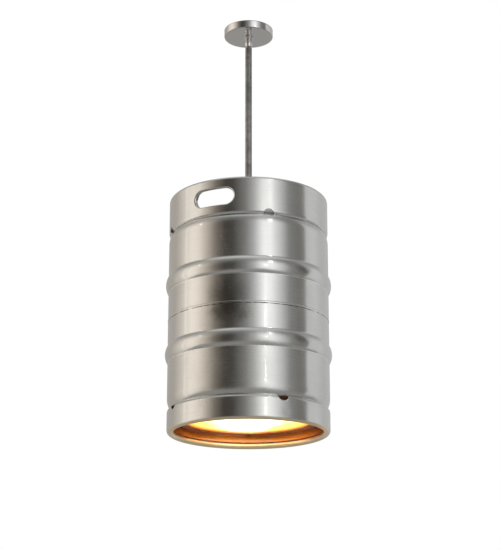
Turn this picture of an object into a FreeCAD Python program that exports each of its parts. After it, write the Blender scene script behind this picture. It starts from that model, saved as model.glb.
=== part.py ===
"""Pendant lamp made from a stainless beer keg, as a parametric FreeCAD document.

Millimetres, +Z up. The origin is the middle of the ceiling plane, on the lamp's axis, and
everything hangs below it. The hand holes face -Y and +Y. The driving sizes are in the sheet,
and every sketch, primitive and placement is bound to them.
"""
import FreeCAD, Part
import math
import os
import re

import Sketcher

V = FreeCAD.Vector
DOC = FreeCAD.newDocument("keg_pendant")

SIZES = {
    # keg
    "keg_height": 595.5,
    "shell_radius": 199.0,
    "shell_wall": 1.6,
    "chime_wall": 2.0,
    "top_chime_height": 94.5,
    "bottom_chime_height": 60.0,
    "chime_curl_height": 10.0,
    "top_bead_radius": 7.0,
    "bottom_bead_radius": 8.5,
    "knuckle_radius": 45.0,
    "top_knuckle_rise": 22.0,
    "bottom_knuckle_rise": 26.0,
    "dome_ratio": 1.91,
    "opening_inset": 34.0,
    "weld_gap": 0.02,
    # rolling rings
    "ring_height": 6.5,
    "ring_crown_radius": 37.0,
    "ring_crisp_foot": 3.5,
    "ring_soft_foot": 10.5,
    "upper_ring_offset": 92.0,
    "lower_ring_offset": 85.0,
    # girth weld
    "girth_gap": 2.0,
    "girth_crown_width": 6.0,
    "girth_crown_height": 0.7,
    # hand holes and drain notches
    "handle_width": 104.0,
    "handle_height": 43.0,
    "handle_drop": 47.5,
    "handle_flange": 9.0,
    "bead_tuck_angle": 70.0,
    "top_notch_radius": 13.0,
    "top_notch_angle": 40.0,
    "bottom_notch_radius": 14.0,
    "bottom_notch_angle": 50.0,
    # neck
    "boss_radius": 36.0,
    "boss_bore_radius": 25.5,
    "boss_rise": 12.0,
    "boss_sink": 6.0,
    "boss_land": 4.0,
    "gasket_radius": 32.0,
    "gasket_thickness": 2.0,
    "plug_depth": 16.0,
    "plug_flange_radius": 33.0,
    "plug_flange_thickness": 6.0,
    "plug_flange_edge": 1.0,
    "spanner_hole_radius": 2.5,
    "spanner_hole_circle": 29.0,
    "spanner_hole_depth": 4.0,
    # rod and stem
    "drop_length": 461.5,
    "rod_radius": 8.55,
    "rod_bore_radius": 6.25,
    "rod_hole_clearance": 0.15,
    "rod_top_chamfer": 1.0,
    "rod_end_below_nut": 13.0,
    "rod_nut_flats": 24.0,
    "rod_nut_thickness": 7.0,
    "rod_washer_radius": 15.0,
    "rod_washer_thickness": 1.5,
    "coupling_radius": 11.5,
    "coupling_length": 24.0,
    "coupling_gap": 2.0,
    "stem_end_below_nut": 3.0,
    # ceiling fittings
    "canopy_radius": 63.5,
    "canopy_height": 19.5,
    "canopy_wall": 1.2,
    "canopy_corner_radius": 2.2,
    "canopy_hole_clearance": 0.3,
    "crossbar_length": 108.0,
    "crossbar_width": 18.0,
    "crossbar_thickness": 2.0,
    "slot_spacing": 79.4,
    "slot_length": 17.0,
    "slot_radius": 2.4,
    "ground_screw_place": 19.0,
    "ground_screw_radius": 2.0,
    "ground_screw_head_radius": 4.0,
    "ground_screw_head_height": 2.4,
    "nipple_radius": 5.1,
    "nipple_bore_radius": 3.5,
    "nipple_top_gap": 0.3,
    "nipple_nut_flats": 16.0,
    "nipple_nut_thickness": 3.0,
    "collar_wall": 2.0,
    "collar_height": 3.5,
    "collar_edge": 0.8,
    "collar_gap": 0.05,
    "thread_clearance": 0.05,
    # swivel, measured from the ball's centre
    "ball_drop": 21.5,
    "ball_radius": 7.0,
    "ball_neck_radius": 4.5,
    "ball_shank_length": 12.0,
    "seat_wall": 0.8,
    "seat_clearance": 0.05,
    "seat_split": 1.0,
    "seat_upper_edge": 4.2,
    "seat_lower_edge": 3.5,
    "swivel_skin": 0.9,
    "swivel_thread_step": 1.2,
    "swivel_thread_runout": 0.5,
    "swivel_top": 30.0,
    "swivel_shoulder": 22.0,
    "swivel_bore_radius": 3.6,
    "swivel_chamber_radius": 5.5,
    "swivel_chamber_top": 9.5,
    "spigot_wall": 1.0,
    "spigot_length": 8.0,
    "cap_mouth_inset": 0.1,
    "cap_nose_drop": 5.5,
    "cap_nose_taper": 1.2,
    "cap_rim_width": 0.7,
    "cap_taper_start": 3.0,
    "rod_top_drop": 8.7,
    # leads
    "lead_radius": 2.5,
    "ball_bore_radius": 2.8,
    "lead_split_low": 8.2,
    "lead_end": 12.0,
    # lamp cluster
    "cluster_height": 262.0,
    "cluster_wall": 1.2,
    "cluster_cover_radius": 46.0,
    "cluster_cover_skirt": 9.0,
    "cluster_cover_corner": 3.0,
    "cluster_fit": 0.3,
    "cluster_nose_radius": 18.0,
    "cluster_depth": 40.0,
    "cluster_skirt_drop": 12.0,
    "cluster_rim_drop": 1.5,
    "socket_radius": 17.5,
    "socket_length": 44.0,
    "socket_neck_radius": 9.3,
    "socket_neck_length": 8.0,
    "socket_neck_wall": 2.0,
    "socket_edge": 2.0,
    "socket_hole_clearance": 0.3,
    "socket_bore_depth": 28.0,
    "bulb_fit": 0.3,
    "bulb_base_radius": 13.0,
    "bulb_base_length": 26.5,
    "bulb_thread_depth": 0.7,
    "bulb_thread_pitch": 3.6,
    "bulb_thread_start": 5.0,
    "bulb_thread_land": 1.0,
    "bulb_tip_radius": 4.0,
    "bulb_tip_width": 1.0,
    "bulb_tip_height": 1.5,
    "bulb_shoulder_inset": 2.5,
    "bulb_shoulder_height": 3.0,
    "bulb_glass_radius": 30.0,
    "bulb_neck_length": 7.0,
    "bulb_neck_sweep": 40.0,
    "bulb_glass_wall": 0.8,
    # trim ring and diffuser
    "trim_height": 33.5,
    "trim_inner_inset": 44.0,
    "trim_outer_inset": 18.5,
    "trim_thickness": 3.0,
    "diffuser_inset": 39.0,
    "diffuser_thickness": 3.0,
    "diffuser_edge": 0.5,
    "screw_inset": 31.5,
    "screw_angle": 115.6,
    "screw_radius": 2.0,
    "screw_hole_clearance": 0.1,
    "screw_head_radius": 3.2,
    "screw_head_height": 2.2,
    "screw_head_edge": 1.0,
    "screw_above_bracket": 1.5,
    "bracket_gap": 0.1,
    "bracket_inner_inset": 35.5,
    "bracket_leg_inset": 26.0,
    "bracket_wall": 2.2,
    "bracket_width": 14.0,
    # how far a cutter reaches past what it cuts
    "bar_overrun": 10.0,
    "drill_overrun": 1.0,
}

BULB_THREADS = 4
LAMPS = 3
TRIM_SCREWS = 3
SPANNER_HOLES = 4
NOTCH_CROSS = 90.0
LEFT, RIGHT = 1, -1

# Heights and shared radii, written with the sheet's names.
CANOPY_FACE = "(-canopy_height)"
KEG_TOP = f"({CANOPY_FACE} - drop_length)"
KEG_BASE = f"({KEG_TOP} - keg_height)"
TOP_GROOVE = f"({KEG_TOP} - top_chime_height)"
BOTTOM_GROOVE = f"({KEG_BASE} + bottom_chime_height)"
GIRTH = f"(({TOP_GROOVE} + {BOTTOM_GROOVE}) / 2)"
TOP_KNUCKLE = f"({TOP_GROOVE} - top_knuckle_rise)"
BOTTOM_KNUCKLE = f"({BOTTOM_GROOVE} + bottom_knuckle_rise)"
KNUCKLE_REACH = "(shell_radius - knuckle_radius)"
DOME = "(dome_ratio * shell_radius)"
DOME_ARM = f"({DOME} - knuckle_radius)"
DOME_OFFSET = f"sqrt({DOME_ARM}^2 - {KNUCKLE_REACH}^2)"
DOME_TANGENT_RADIUS = f"({DOME} * {KNUCKLE_REACH} / {DOME_ARM})"
DOME_TANGENT_RISE = f"({DOME} * {DOME_OFFSET} / {DOME_ARM} - {DOME_OFFSET})"
LAND_RADIUS = "(boss_radius + boss_land)"
NECK_LAND = f"({TOP_KNUCKLE} - {DOME_OFFSET} + sqrt({DOME}^2 - {LAND_RADIUS}^2))"
NECK_TOP = f"({NECK_LAND} + boss_rise)"
PLUG_TOP = f"({NECK_TOP} + gasket_thickness + plug_flange_thickness)"
PLUG_UNDERSIDE = f"({NECK_TOP} - plug_depth)"
BALL = f"({CANOPY_FACE} - ball_drop)"
ROD_TOP = f"({BALL} - rod_top_drop)"
ROD_END = f"({PLUG_UNDERSIDE} - rod_washer_thickness - rod_nut_thickness - rod_end_below_nut)"
ROD_HOLE = "(rod_radius + rod_hole_clearance)"
CLUSTER_TOP = f"({KEG_BASE} + cluster_height)"
STEM_TOP = f"({ROD_END} - coupling_gap)"
STEM_END = f"({CLUSTER_TOP} - cluster_wall - rod_nut_thickness - stem_end_below_nut)"
TRIM_TOP = f"({KEG_BASE} + trim_height + trim_thickness)"
NIPPLE_END = f"({BALL} + swivel_shoulder)"
SEAT_INNER = "(ball_radius + seat_clearance)"
SEAT_OUTER = "(ball_radius + seat_clearance + seat_wall)"
CAVITY = "(ball_radius + seat_wall + 2 * seat_clearance)"
SPIGOT = f"({CAVITY} + spigot_wall)"
SWIVEL = f"({SPIGOT} + swivel_skin)"
THREAD = f"({SWIVEL} + swivel_thread_step)"
COLLAR = f"({THREAD} + collar_wall)"
CAP_MOUTH = "(ball_radius - cap_mouth_inset)"
CAP_NOSE = f"({SWIVEL} - cap_nose_taper)"
CAP_FLARE = f"({CAP_NOSE} - cap_rim_width)"
OPENING = "(shell_radius - opening_inset)"
TRIM_INNER = "(shell_radius - trim_inner_inset)"
TRIM_OUTER = "(shell_radius - trim_outer_inset)"
DIFFUSER = "(shell_radius - diffuser_inset)"
SCREW_CIRCLE = "(shell_radius - screw_inset)"
BRACKET_INNER = "(shell_radius - bracket_inner_inset)"
BRACKET_LEG = "(shell_radius - bracket_leg_inset)"


def fill_sheet():
    """Write the driving sizes into a spreadsheet, one alias each."""
    sheet = DOC.addObject("Spreadsheet::Sheet", "Sizes")
    for row, (name, size) in enumerate(SIZES.items(), start=1):
        sheet.set(f"A{row}", name)
        sheet.set(f"B{row}", str(size))
        sheet.setAlias(f"B{row}", name)
    DOC.recompute()
    return sheet


SHEET = fill_sheet()
NAMES = re.compile(r"\b(" + "|".join(sorted(SIZES, key=len, reverse=True)) + r")\b")
PARTS = []


def bound(text):
    """The expression with each size's name pointing at the sheet."""
    return NAMES.sub(r"Sizes.\1", str(text))


def value(text):
    """The expression's present number."""
    result = SHEET.evalExpression(bound(text))
    return float(getattr(result, "Value", result))


def tie(item, prop, text):
    """Bind one property of a document object to an expression."""
    item.setExpression(prop, bound(text))


def keep(item, label):
    """Name a finished sub-part and put it on the list of what is written."""
    item.Label = label
    PARTS.append(item)
    return item


def place(item, x="0", y="0", z="0"):
    """Bind the position of a document object."""
    for axis, text in (("x", x), ("y", y), ("z", z)):
        tie(item, f"Placement.Base.{axis}", text)


# Sketches ---------------------------------------------------------------------------------


def fix_number(sketch, kind, where, text):
    """Add one dimension to a sketch and bind it."""
    index = sketch.addConstraint(Sketcher.Constraint(kind, *where, value(text)))
    tie(sketch, f"Constraints[{index}]", text)


def arc_between(start, end, radius, turn):
    """Arc of under half a circle from start to end, turning left or right."""
    chord = end - start
    rise = math.sqrt(max(radius ** 2 - chord.Length ** 2 / 4, 0.0))
    left = V(-chord.y, chord.x, 0).normalize()
    middle = start + chord / 2 + left * (rise if turn == "left" else -rise)
    first, last = (start, end) if turn == "left" else (end, start)
    angles = [math.atan2(p.y - middle.y, p.x - middle.x) for p in (first, last)]
    if angles[1] < angles[0]:
        angles[1] += 2 * math.pi
    return Part.ArcOfCircle(Part.Circle(middle, V(0, 0, 1), radius), *angles)


def outline(sketch, corners, closed=True):
    """Draw a chain of lines and arcs whose corners are bound to the sheet.

    A corner is (x, y), reached by a line, or (x, y, radius, turn), reached by an arc.
    """
    spots = [V(value(c[0]), value(c[1]), 0) for c in corners]
    steps = list(range(1, len(corners))) + ([0] if closed else [])
    ends = []
    for step in steps:
        corner, start, end = corners[step], spots[step - 1], spots[step]
        if len(corner) == 4:
            edge = arc_between(start, end, value(corner[2]), corner[3])
            index = sketch.addGeometry(edge, False)
            fix_number(sketch, "Radius", (index,), corner[2])
            first, last = (1, 2) if corner[3] == "left" else (2, 1)
        else:
            index = sketch.addGeometry(Part.LineSegment(start, end), False)
            first, last = 1, 2
        if ends:
            sketch.addConstraint(Sketcher.Constraint("Coincident", *ends[-1], index, first))
        else:
            opening = (index, first)
            fix_number(sketch, "DistanceX", opening, corners[step - 1][0])
            fix_number(sketch, "DistanceY", opening, corners[step - 1][1])
        ends.append((index, last))
        if step == 0:
            sketch.addConstraint(Sketcher.Constraint("Coincident", *ends[-1], *opening))
        else:
            fix_number(sketch, "DistanceX", ends[-1], corner[0])
            fix_number(sketch, "DistanceY", ends[-1], corner[1])


def circle(sketch, x, y, radius):
    """Draw a full circle bound to the sheet."""
    spot = V(value(x), value(y), 0)
    index = sketch.addGeometry(Part.Circle(spot, V(0, 0, 1), value(radius)), False)
    fix_number(sketch, "Radius", (index,), radius)
    fix_number(sketch, "DistanceX", (index, 3), x)
    fix_number(sketch, "DistanceY", (index, 3), y)


def new_body(label):
    """A PartDesign body that will be one sub-part."""
    body = DOC.addObject("PartDesign::Body", label)
    body.Label = label
    return body


def body_sketch(body, role, name):
    """A sketch on one of the body's own origin planes."""
    sketch = body.newObject("Sketcher::SketchObject", name)
    plane = next(p for p in body.Origin.OriginFeatures if p.Role == role)
    sketch.AttachmentSupport = [(plane, "")]
    sketch.MapMode = "FlatFace"
    return sketch


def turned(label, corners):
    """A body turned on the lathe: a closed half section, revolved about Z."""
    body = new_body(label)
    sketch = body_sketch(body, "XZ_Plane", f"{label}_section")
    outline(sketch, corners)
    feature = body.newObject("PartDesign::Revolution", f"{label}_turn")
    feature.Profile = sketch
    feature.ReferenceAxis = (sketch, ["V_Axis"])
    feature.Angle = 360.0
    sketch.Visibility = False
    return body


def padded(label, draw, height):
    """A body cut from plate: the outline that draw makes, padded up from z = 0."""
    body = new_body(label)
    sketch = body_sketch(body, "XY_Plane", f"{label}_outline")
    draw(sketch)
    feature = body.newObject("PartDesign::Pad", f"{label}_pad")
    feature.Profile = sketch
    tie(feature, "Length", height)
    DOC.recompute()
    return body


def cut_down(body, name, draw, depth=None, start="0"):
    """Pocket the outline that draw makes, downwards from the height start."""
    sketch = body_sketch(body, "XY_Plane", f"{name}_outline")
    tie(sketch, "AttachmentOffset.Base.z", start)
    draw(sketch)
    feature = body.newObject("PartDesign::Pocket", name)
    feature.Profile = sketch
    if depth is None:
        feature.Type = "ThroughAll"
        feature.Midplane = True
    else:
        tie(feature, "Length", depth)
    DOC.recompute()
    return feature


def repeat_round(body, feature, count):
    """Repeat a feature evenly about the body's Z axis."""
    pattern = body.newObject("PartDesign::PolarPattern", f"{feature.Name}_round")
    pattern.Originals = [feature]
    pattern.Axis = (feature.Profile[0], ["N_Axis"])
    pattern.Angle = 360.0
    pattern.Occurrences = count
    body.Tip = pattern
    DOC.recompute()
    return pattern


def side_sketch(name):
    """A loose sketch in the XZ plane, for Part features."""
    sketch = DOC.addObject("Sketcher::SketchObject", name)
    sketch.Placement = FreeCAD.Placement(V(0, 0, 0), FreeCAD.Rotation(V(1, 0, 0), 90))
    return sketch


def spun_sheet(label, corners, wall, side):
    """Sheet metal turned about Z: the line of its outer face, thickened and revolved.

    side is LEFT or RIGHT, where the metal lies as the line runs.
    """
    line = side_sketch(f"{label}_line")
    outline(line, corners, closed=False)
    section = DOC.addObject("Part::Offset2D", f"{label}_section")
    section.Source = line
    section.Mode = "Skin"
    section.Join = "Arc"
    section.Fill = True
    # The line runs the way its first edge is drawn, and an arc is always drawn turning left.
    if corners[1][-1] == "right":
        side = -side
    tie(section, "Value", f"{side} * {wall}")
    sheet = DOC.addObject("Part::Revolution", f"{label}_spun")
    sheet.Source = section
    sheet.Axis = V(0, 0, 1)
    sheet.Angle = 360.0
    sheet.Solid = True
    return sheet


def pair(kind, name, base, tool):
    """A Part boolean of two objects."""
    result = DOC.addObject(f"Part::{kind}", name)
    result.Base = base
    result.Tool = tool
    return result


def several(kind, name, members):
    """A Part object that holds a list of others."""
    result = DOC.addObject(f"Part::{kind}", name)
    if kind == "Compound":
        result.Links = members
    else:
        result.Shapes = members
    return result


def bar_through(name, radius, length, height, angle):
    """A round cutter lying through the axis at a height, turned about Z by angle."""
    bar = DOC.addObject("Part::Cylinder", name)
    tie(bar, "Radius", radius)
    tie(bar, "Height", length)
    half = f"({length}) / 2"
    place(bar, f"-{half} * cos({angle})", f"-{half} * sin({angle})", height)
    bar.Placement.Rotation = FreeCAD.Rotation(V(0, 0, 1), value(angle)).multiply(
        FreeCAD.Rotation(V(0, 1, 0), 90))
    return bar


def hexagon(flats):
    """Corners of a hexagon of the given width across its flats."""
    return [(f"{flats} / sqrt(3) * cos({60 * k})", f"{flats} / sqrt(3) * sin({60 * k})")
            for k in range(6)]


def hex_nut(label, flats, thickness, bore, z):
    """A plain hexagon nut with its underside at z."""
    nut = padded(label, lambda s: outline(s, hexagon(flats)), thickness)
    cut_down(nut, f"{label}_bore", lambda s: circle(s, "0", "0", bore))
    place(nut, z=z)
    return nut


def ring_body(label, inner, outer, low, high):
    """A plain ring between two heights."""
    return turned(label, [(inner, low), (outer, low), (outer, high), (inner, high)])


# Ceiling fittings -------------------------------------------------------------------------


def slot_corners(centre):
    """Round-ended slot along X about (centre, 0)."""
    reach = "(slot_length / 2 - slot_radius)"
    return [(f"{centre} - {reach}", "-slot_radius", "slot_radius", "left"),
            (f"{centre} + {reach}", "-slot_radius"),
            (f"{centre} + {reach} + slot_radius", "0", "slot_radius", "left"),
            (f"{centre} + {reach}", "slot_radius", "slot_radius", "left"),
            (f"{centre} - {reach}", "slot_radius"),
            (f"{centre} - {reach} - slot_radius", "0", "slot_radius", "left")]


def make_crossbar():
    """Strap that is screwed to the ceiling box, with two slots and a hole for the nipple."""
    length, width = "crossbar_length / 2", "crossbar_width / 2"
    corners = [(f"-{length}", f"-{width}"), (length, f"-{width}"),
               (length, width), (f"-{length}", width)]
    bar = padded("crossbar", lambda s: outline(s, corners), "crossbar_thickness")
    for centre, name in (("-slot_spacing / 2", "left_slot"), ("slot_spacing / 2", "right_slot")):
        cut_down(bar, name, lambda s, c=centre: outline(s, slot_corners(c)))
    cut_down(bar, "nipple_hole", lambda s: circle(s, "0", "0", "nipple_radius"))
    cut_down(bar, "ground_hole",
             lambda s: circle(s, "ground_screw_place", "0", "ground_screw_radius"))
    place(bar, z="-crossbar_thickness")
    keep(bar, "crossbar")


def make_ground_screw():
    """Pan-head earth screw in the crossbar, head downwards."""
    screw = turned("ground_screw", [
        ("0", "-ground_screw_head_height"),
        ("ground_screw_head_radius - screw_head_edge", "-ground_screw_head_height"),
        ("ground_screw_head_radius", "-ground_screw_head_height + screw_head_edge",
         "screw_head_edge", "left"),
        ("ground_screw_head_radius", "0"),
        ("ground_screw_radius", "0"),
        ("ground_screw_radius", "crossbar_thickness"),
        ("0", "crossbar_thickness")])
    place(screw, x="ground_screw_place", z="-crossbar_thickness")
    keep(screw, "ground_screw")


def make_nipple():
    """Threaded tube that carries the whole lamp from the crossbar."""
    nipple = ring_body("threaded_nipple", "nipple_bore_radius", "nipple_radius",
                       NIPPLE_END, "-nipple_top_gap")
    keep(nipple, "threaded_nipple")
    under_bar = "-crossbar_thickness - nipple_nut_thickness"
    on_swivel = f"{BALL} + swivel_top"
    nuts = [hex_nut(name, "nipple_nut_flats", "nipple_nut_thickness", "nipple_radius", z)
            for name, z in (("bar_nut", under_bar), ("swivel_nut", on_swivel))]
    keep(several("Compound", "nipple_nut_set", nuts), "nipple_lock_nuts")


def make_canopy():
    """Round pressing that covers the ceiling box."""
    hole = f"{THREAD} + canopy_hole_clearance"
    corner = "canopy_corner_radius"
    canopy = spun_sheet("canopy", [
        (hole, CANOPY_FACE),
        (f"canopy_radius - {corner}", CANOPY_FACE),
        ("canopy_radius", f"{CANOPY_FACE} + {corner}", corner, "left"),
        ("canopy_radius", "0")], "canopy_wall", LEFT)
    keep(canopy, "canopy")


def make_collar():
    """Ring threaded on the swivel that holds the canopy up."""
    top = f"{CANOPY_FACE} - collar_gap"
    low = f"{CANOPY_FACE} - collar_gap - collar_height"
    bore = f"{THREAD} + thread_clearance"
    collar = turned("canopy_collar", [
        (bore, low),
        (f"{COLLAR} - collar_edge", low),
        (COLLAR, f"{low} + collar_edge", "collar_edge", "left"),
        (COLLAR, f"{top} - collar_edge"),
        (f"{COLLAR} - collar_edge", top, "collar_edge", "left"),
        (bore, top)])
    keep(collar, "canopy_collar")


# Swivel, drawn about the ball's centre ----------------------------------------------------



def on_sphere(radius, height):
    """Distance from the axis of a sphere's surface at a height above its centre."""
    return f"sqrt({radius}^2 - ({height})^2)"


def make_swivel_housing():
    """Upper half of the swivel: threaded outside for the collar, ball socket inside."""
    thread_end = "(ball_drop - collar_gap - collar_height - swivel_thread_runout)"
    housing = turned("swivel_housing", [
        (SPIGOT, "0"),
        (SPIGOT, "spigot_length"),
        (SWIVEL, "spigot_length"),
        (SWIVEL, thread_end),
        (THREAD, thread_end),
        (THREAD, "swivel_top"),
        ("nipple_radius", "swivel_top"),
        ("nipple_radius", "swivel_shoulder"),
        ("swivel_bore_radius", "swivel_shoulder"),
        ("swivel_bore_radius", "swivel_chamber_top"),
        ("swivel_chamber_radius", "swivel_chamber_top"),
        ("swivel_chamber_radius", on_sphere(CAVITY, "swivel_chamber_radius")),
        (CAVITY, "0", CAVITY, "right")])
    place(housing, z=BALL)
    keep(housing, "swivel_housing")


def make_swivel_cap():
    """Lower half of the swivel, screwed over the housing's spigot, with a tapered nose."""
    cap = turned("swivel_cap", [
        (CAVITY, "0"),
        (CAP_MOUTH, f"-{on_sphere(CAVITY, CAP_MOUTH)}", CAVITY, "right"),
        (CAP_FLARE, "-cap_nose_drop"),
        (CAP_NOSE, "-cap_nose_drop"),
        (SWIVEL, "cap_taper_start"),
        (SWIVEL, "spigot_length"),
        (SPIGOT, "spigot_length"),
        (SPIGOT, "0")])
    place(cap, z=BALL)
    keep(cap, "swivel_cap")


def make_seat_rings():
    """Two nylon rings around the ball, parted at the equator."""
    zones = (("seat_ring_lower", "-seat_lower_edge", "-seat_split"),
             ("seat_ring_upper", "seat_split", "seat_upper_edge"))
    for name, low, high in zones:
        ring = turned(name, [
            (on_sphere(SEAT_INNER, low), low, SEAT_INNER, "right"),
            (on_sphere(SEAT_OUTER, low), low),
            (on_sphere(SEAT_OUTER, high), high, SEAT_OUTER, "left"),
            (on_sphere(SEAT_INNER, high), high)])
        place(ring, z=BALL)
        keep(ring, name)


def make_ball():
    """Swivel ball, bored for the lead, with a neck and a shank screwed into the rod."""
    ball = turned("swivel_ball", [
        ("ball_bore_radius", "-rod_top_drop - ball_shank_length"),
        ("rod_bore_radius", "-rod_top_drop - ball_shank_length"),
        ("rod_bore_radius", "-rod_top_drop"),
        ("ball_neck_radius", "-rod_top_drop"),
        ("ball_neck_radius", f"-{on_sphere('ball_radius', 'ball_neck_radius')}"),
        ("ball_bore_radius", on_sphere("ball_radius", "ball_bore_radius"),
         "ball_radius", "left")])
    place(ball, z=BALL)
    keep(ball, "swivel_ball")


def make_leads():
    """Flexible lead through the lamp, in two lengths that meet above the ball."""
    upper = ring_body("supply_lead", "0", "lead_radius",
                      f"{BALL} + swivel_chamber_top", "-nipple_top_gap")
    keep(upper, "supply_lead")
    lower = ring_body("lamp_lead", "0", "lead_radius",
                      f"{STEM_END} - lead_end", f"{BALL} + lead_split_low")
    keep(lower, "lamp_lead")


# Rod, neck and stem -----------------------------------------------------------------------


def make_down_rod():
    """Pipe from the swivel to the keg's neck."""
    rod = turned("down_rod", [
        ("rod_bore_radius", ROD_END),
        ("rod_radius", ROD_END),
        ("rod_radius", f"{ROD_TOP} - rod_top_chamfer"),
        ("rod_radius - rod_top_chamfer", ROD_TOP),
        ("rod_bore_radius", ROD_TOP)])
    keep(rod, "down_rod")


def make_neck_boss():
    """Welded neck of the keg."""
    boss = ring_body("neck_boss", "boss_bore_radius", "boss_radius",
                     f"{NECK_LAND} - boss_sink", NECK_TOP)
    keep(boss, "neck_boss")


def make_neck_plug():
    """Plug screwed into the neck in place of the valve, with holes for a pin spanner."""
    plug = turned("neck_plug", [
        (ROD_HOLE, "-plug_depth"),
        ("boss_bore_radius", "-plug_depth"),
        ("boss_bore_radius", "gasket_thickness"),
        ("plug_flange_radius", "gasket_thickness"),
        ("plug_flange_radius", "gasket_thickness + plug_flange_thickness - plug_flange_edge"),
        ("plug_flange_radius - plug_flange_edge", "gasket_thickness + plug_flange_thickness"),
        (ROD_HOLE, "gasket_thickness + plug_flange_thickness")])
    DOC.recompute()
    hole = cut_down(plug, "spanner_hole",
                    lambda s: circle(s, "spanner_hole_circle", "0", "spanner_hole_radius"),
                    "spanner_hole_depth", "gasket_thickness + plug_flange_thickness")
    repeat_round(plug, hole, SPANNER_HOLES)
    place(plug, z=NECK_TOP)
    keep(plug, "neck_plug")
    gasket = ring_body("neck_gasket", "boss_bore_radius", "gasket_radius",
                       NECK_TOP, f"{NECK_TOP} + gasket_thickness")
    keep(gasket, "neck_gasket")


def make_rod_fasteners():
    """Washer and nut above and below the plug, and above and below the cluster's cover."""
    washers = (("upper_washer", PLUG_TOP),
               ("lower_washer", f"{PLUG_UNDERSIDE} - rod_washer_thickness"))
    rings = [ring_body(name, ROD_HOLE, "rod_washer_radius", z, f"{z} + rod_washer_thickness")
             for name, z in washers]
    keep(several("Compound", "rod_washer_set", rings), "rod_washers")
    nuts = (("upper_rod_nut", f"{PLUG_TOP} + rod_washer_thickness"),
            ("lower_rod_nut", f"{PLUG_UNDERSIDE} - rod_washer_thickness - rod_nut_thickness"))
    keep(several("Compound", "rod_nut_set", [rod_nut(*nut) for nut in nuts]), "rod_lock_nuts")
    nuts = (("cover_top_nut", CLUSTER_TOP),
            ("cover_low_nut", f"{CLUSTER_TOP} - cluster_wall - rod_nut_thickness"))
    keep(several("Compound", "cover_nut_set", [rod_nut(*nut) for nut in nuts]),
         "cluster_lock_nuts")


def rod_nut(name, z):
    """Hexagon nut for the rod's thread, its underside at z."""
    return hex_nut(name, "rod_nut_flats", "rod_nut_thickness", "rod_radius", z)


def make_stem():
    """Coupling under the plug and the inner stem that carries the lamp cluster."""
    middle = f"({ROD_END} - coupling_gap / 2)"
    coupling = ring_body("stem_coupling", "rod_radius", "coupling_radius",
                         f"{middle} - coupling_length / 2", f"{middle} + coupling_length / 2")
    keep(coupling, "stem_coupling")
    stem = ring_body("inner_stem", "rod_bore_radius", "rod_radius", STEM_END, STEM_TOP)
    keep(stem, "inner_stem")


# Keg --------------------------------------------------------------------------------------


def ring_arc(peak, above):
    """Foot and crown points of one flank of a rolling ring, from the crown outwards."""
    foot = "ring_soft_foot" if above else "ring_crisp_foot"
    sign = "+" if above else "-"
    arms = f"(ring_crown_radius + {foot})"
    reach = f"sqrt({arms}^2 - ({arms} - ring_height)^2)"
    tangent = (f"shell_radius + ring_height - ring_crown_radius"
               f" + ring_crown_radius * ({arms} - ring_height) / {arms}",
               f"{peak} {sign} ring_crown_radius * {reach} / {arms}")
    start = ("shell_radius", f"{peak} {sign} {reach}")
    return foot, start, tangent


def rolling_ring(peak):
    """Corners of a rolling ring, going down the shell's outer face."""
    soft, soft_start, soft_tangent = ring_arc(peak, True)
    crisp, crisp_end, crisp_tangent = ring_arc(peak, False)
    return [soft_start,
            (*soft_tangent, soft, "left"),
            (*crisp_tangent, "ring_crown_radius", "right"),
            (*crisp_end, crisp, "left")]


def make_upper_shell():
    """Drawn upper half: domed top, knuckle, wall and one rolling ring."""
    shell = spun_sheet("upper_shell", [
        ("boss_radius", NECK_LAND),
        (LAND_RADIUS, NECK_LAND),
        (DOME_TANGENT_RADIUS, f"{TOP_KNUCKLE} + {DOME_TANGENT_RISE}", DOME, "right"),
        ("shell_radius", TOP_KNUCKLE, "knuckle_radius", "right"),
        *rolling_ring(f"{GIRTH} + upper_ring_offset"),
        ("shell_radius", f"{GIRTH} + girth_gap / 2")], "shell_wall", RIGHT)
    keep(shell, "upper_shell")


def make_lower_shell():
    """Drawn lower half: wall, rolling ring, knuckle and the rim left by the cut-out bottom."""
    rim_rise = f"{DOME_OFFSET} - sqrt({DOME}^2 - {OPENING}^2)"
    shell = spun_sheet("lower_shell", [
        ("shell_radius", f"{GIRTH} - girth_gap / 2"),
        *rolling_ring(f"{GIRTH} - lower_ring_offset"),
        ("shell_radius", BOTTOM_KNUCKLE),
        (DOME_TANGENT_RADIUS, f"{BOTTOM_KNUCKLE} - {DOME_TANGENT_RISE}",
         "knuckle_radius", "right"),
        (OPENING, f"{BOTTOM_KNUCKLE} + {rim_rise}", DOME, "right")],
        "shell_wall", RIGHT)
    keep(shell, "lower_shell")


def make_girth_weld():
    """Weld that fills the gap between the two halves, with a low crown outside."""
    half_gap, half_crown = "girth_gap / 2", "girth_crown_width / 2"
    weld = turned("girth_weld", [
        ("shell_radius - shell_wall", f"-{half_gap}"),
        ("shell_radius", f"-{half_gap}"),
        ("shell_radius", f"-{half_crown}"),
        ("shell_radius + girth_crown_height", "-girth_crown_width / 6"),
        ("shell_radius + girth_crown_height", "girth_crown_width / 6"),
        ("shell_radius", half_crown),
        ("shell_radius", half_gap),
        ("shell_radius - shell_wall", half_gap)])
    place(weld, z=GIRTH)
    keep(weld, "girth_weld")


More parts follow.
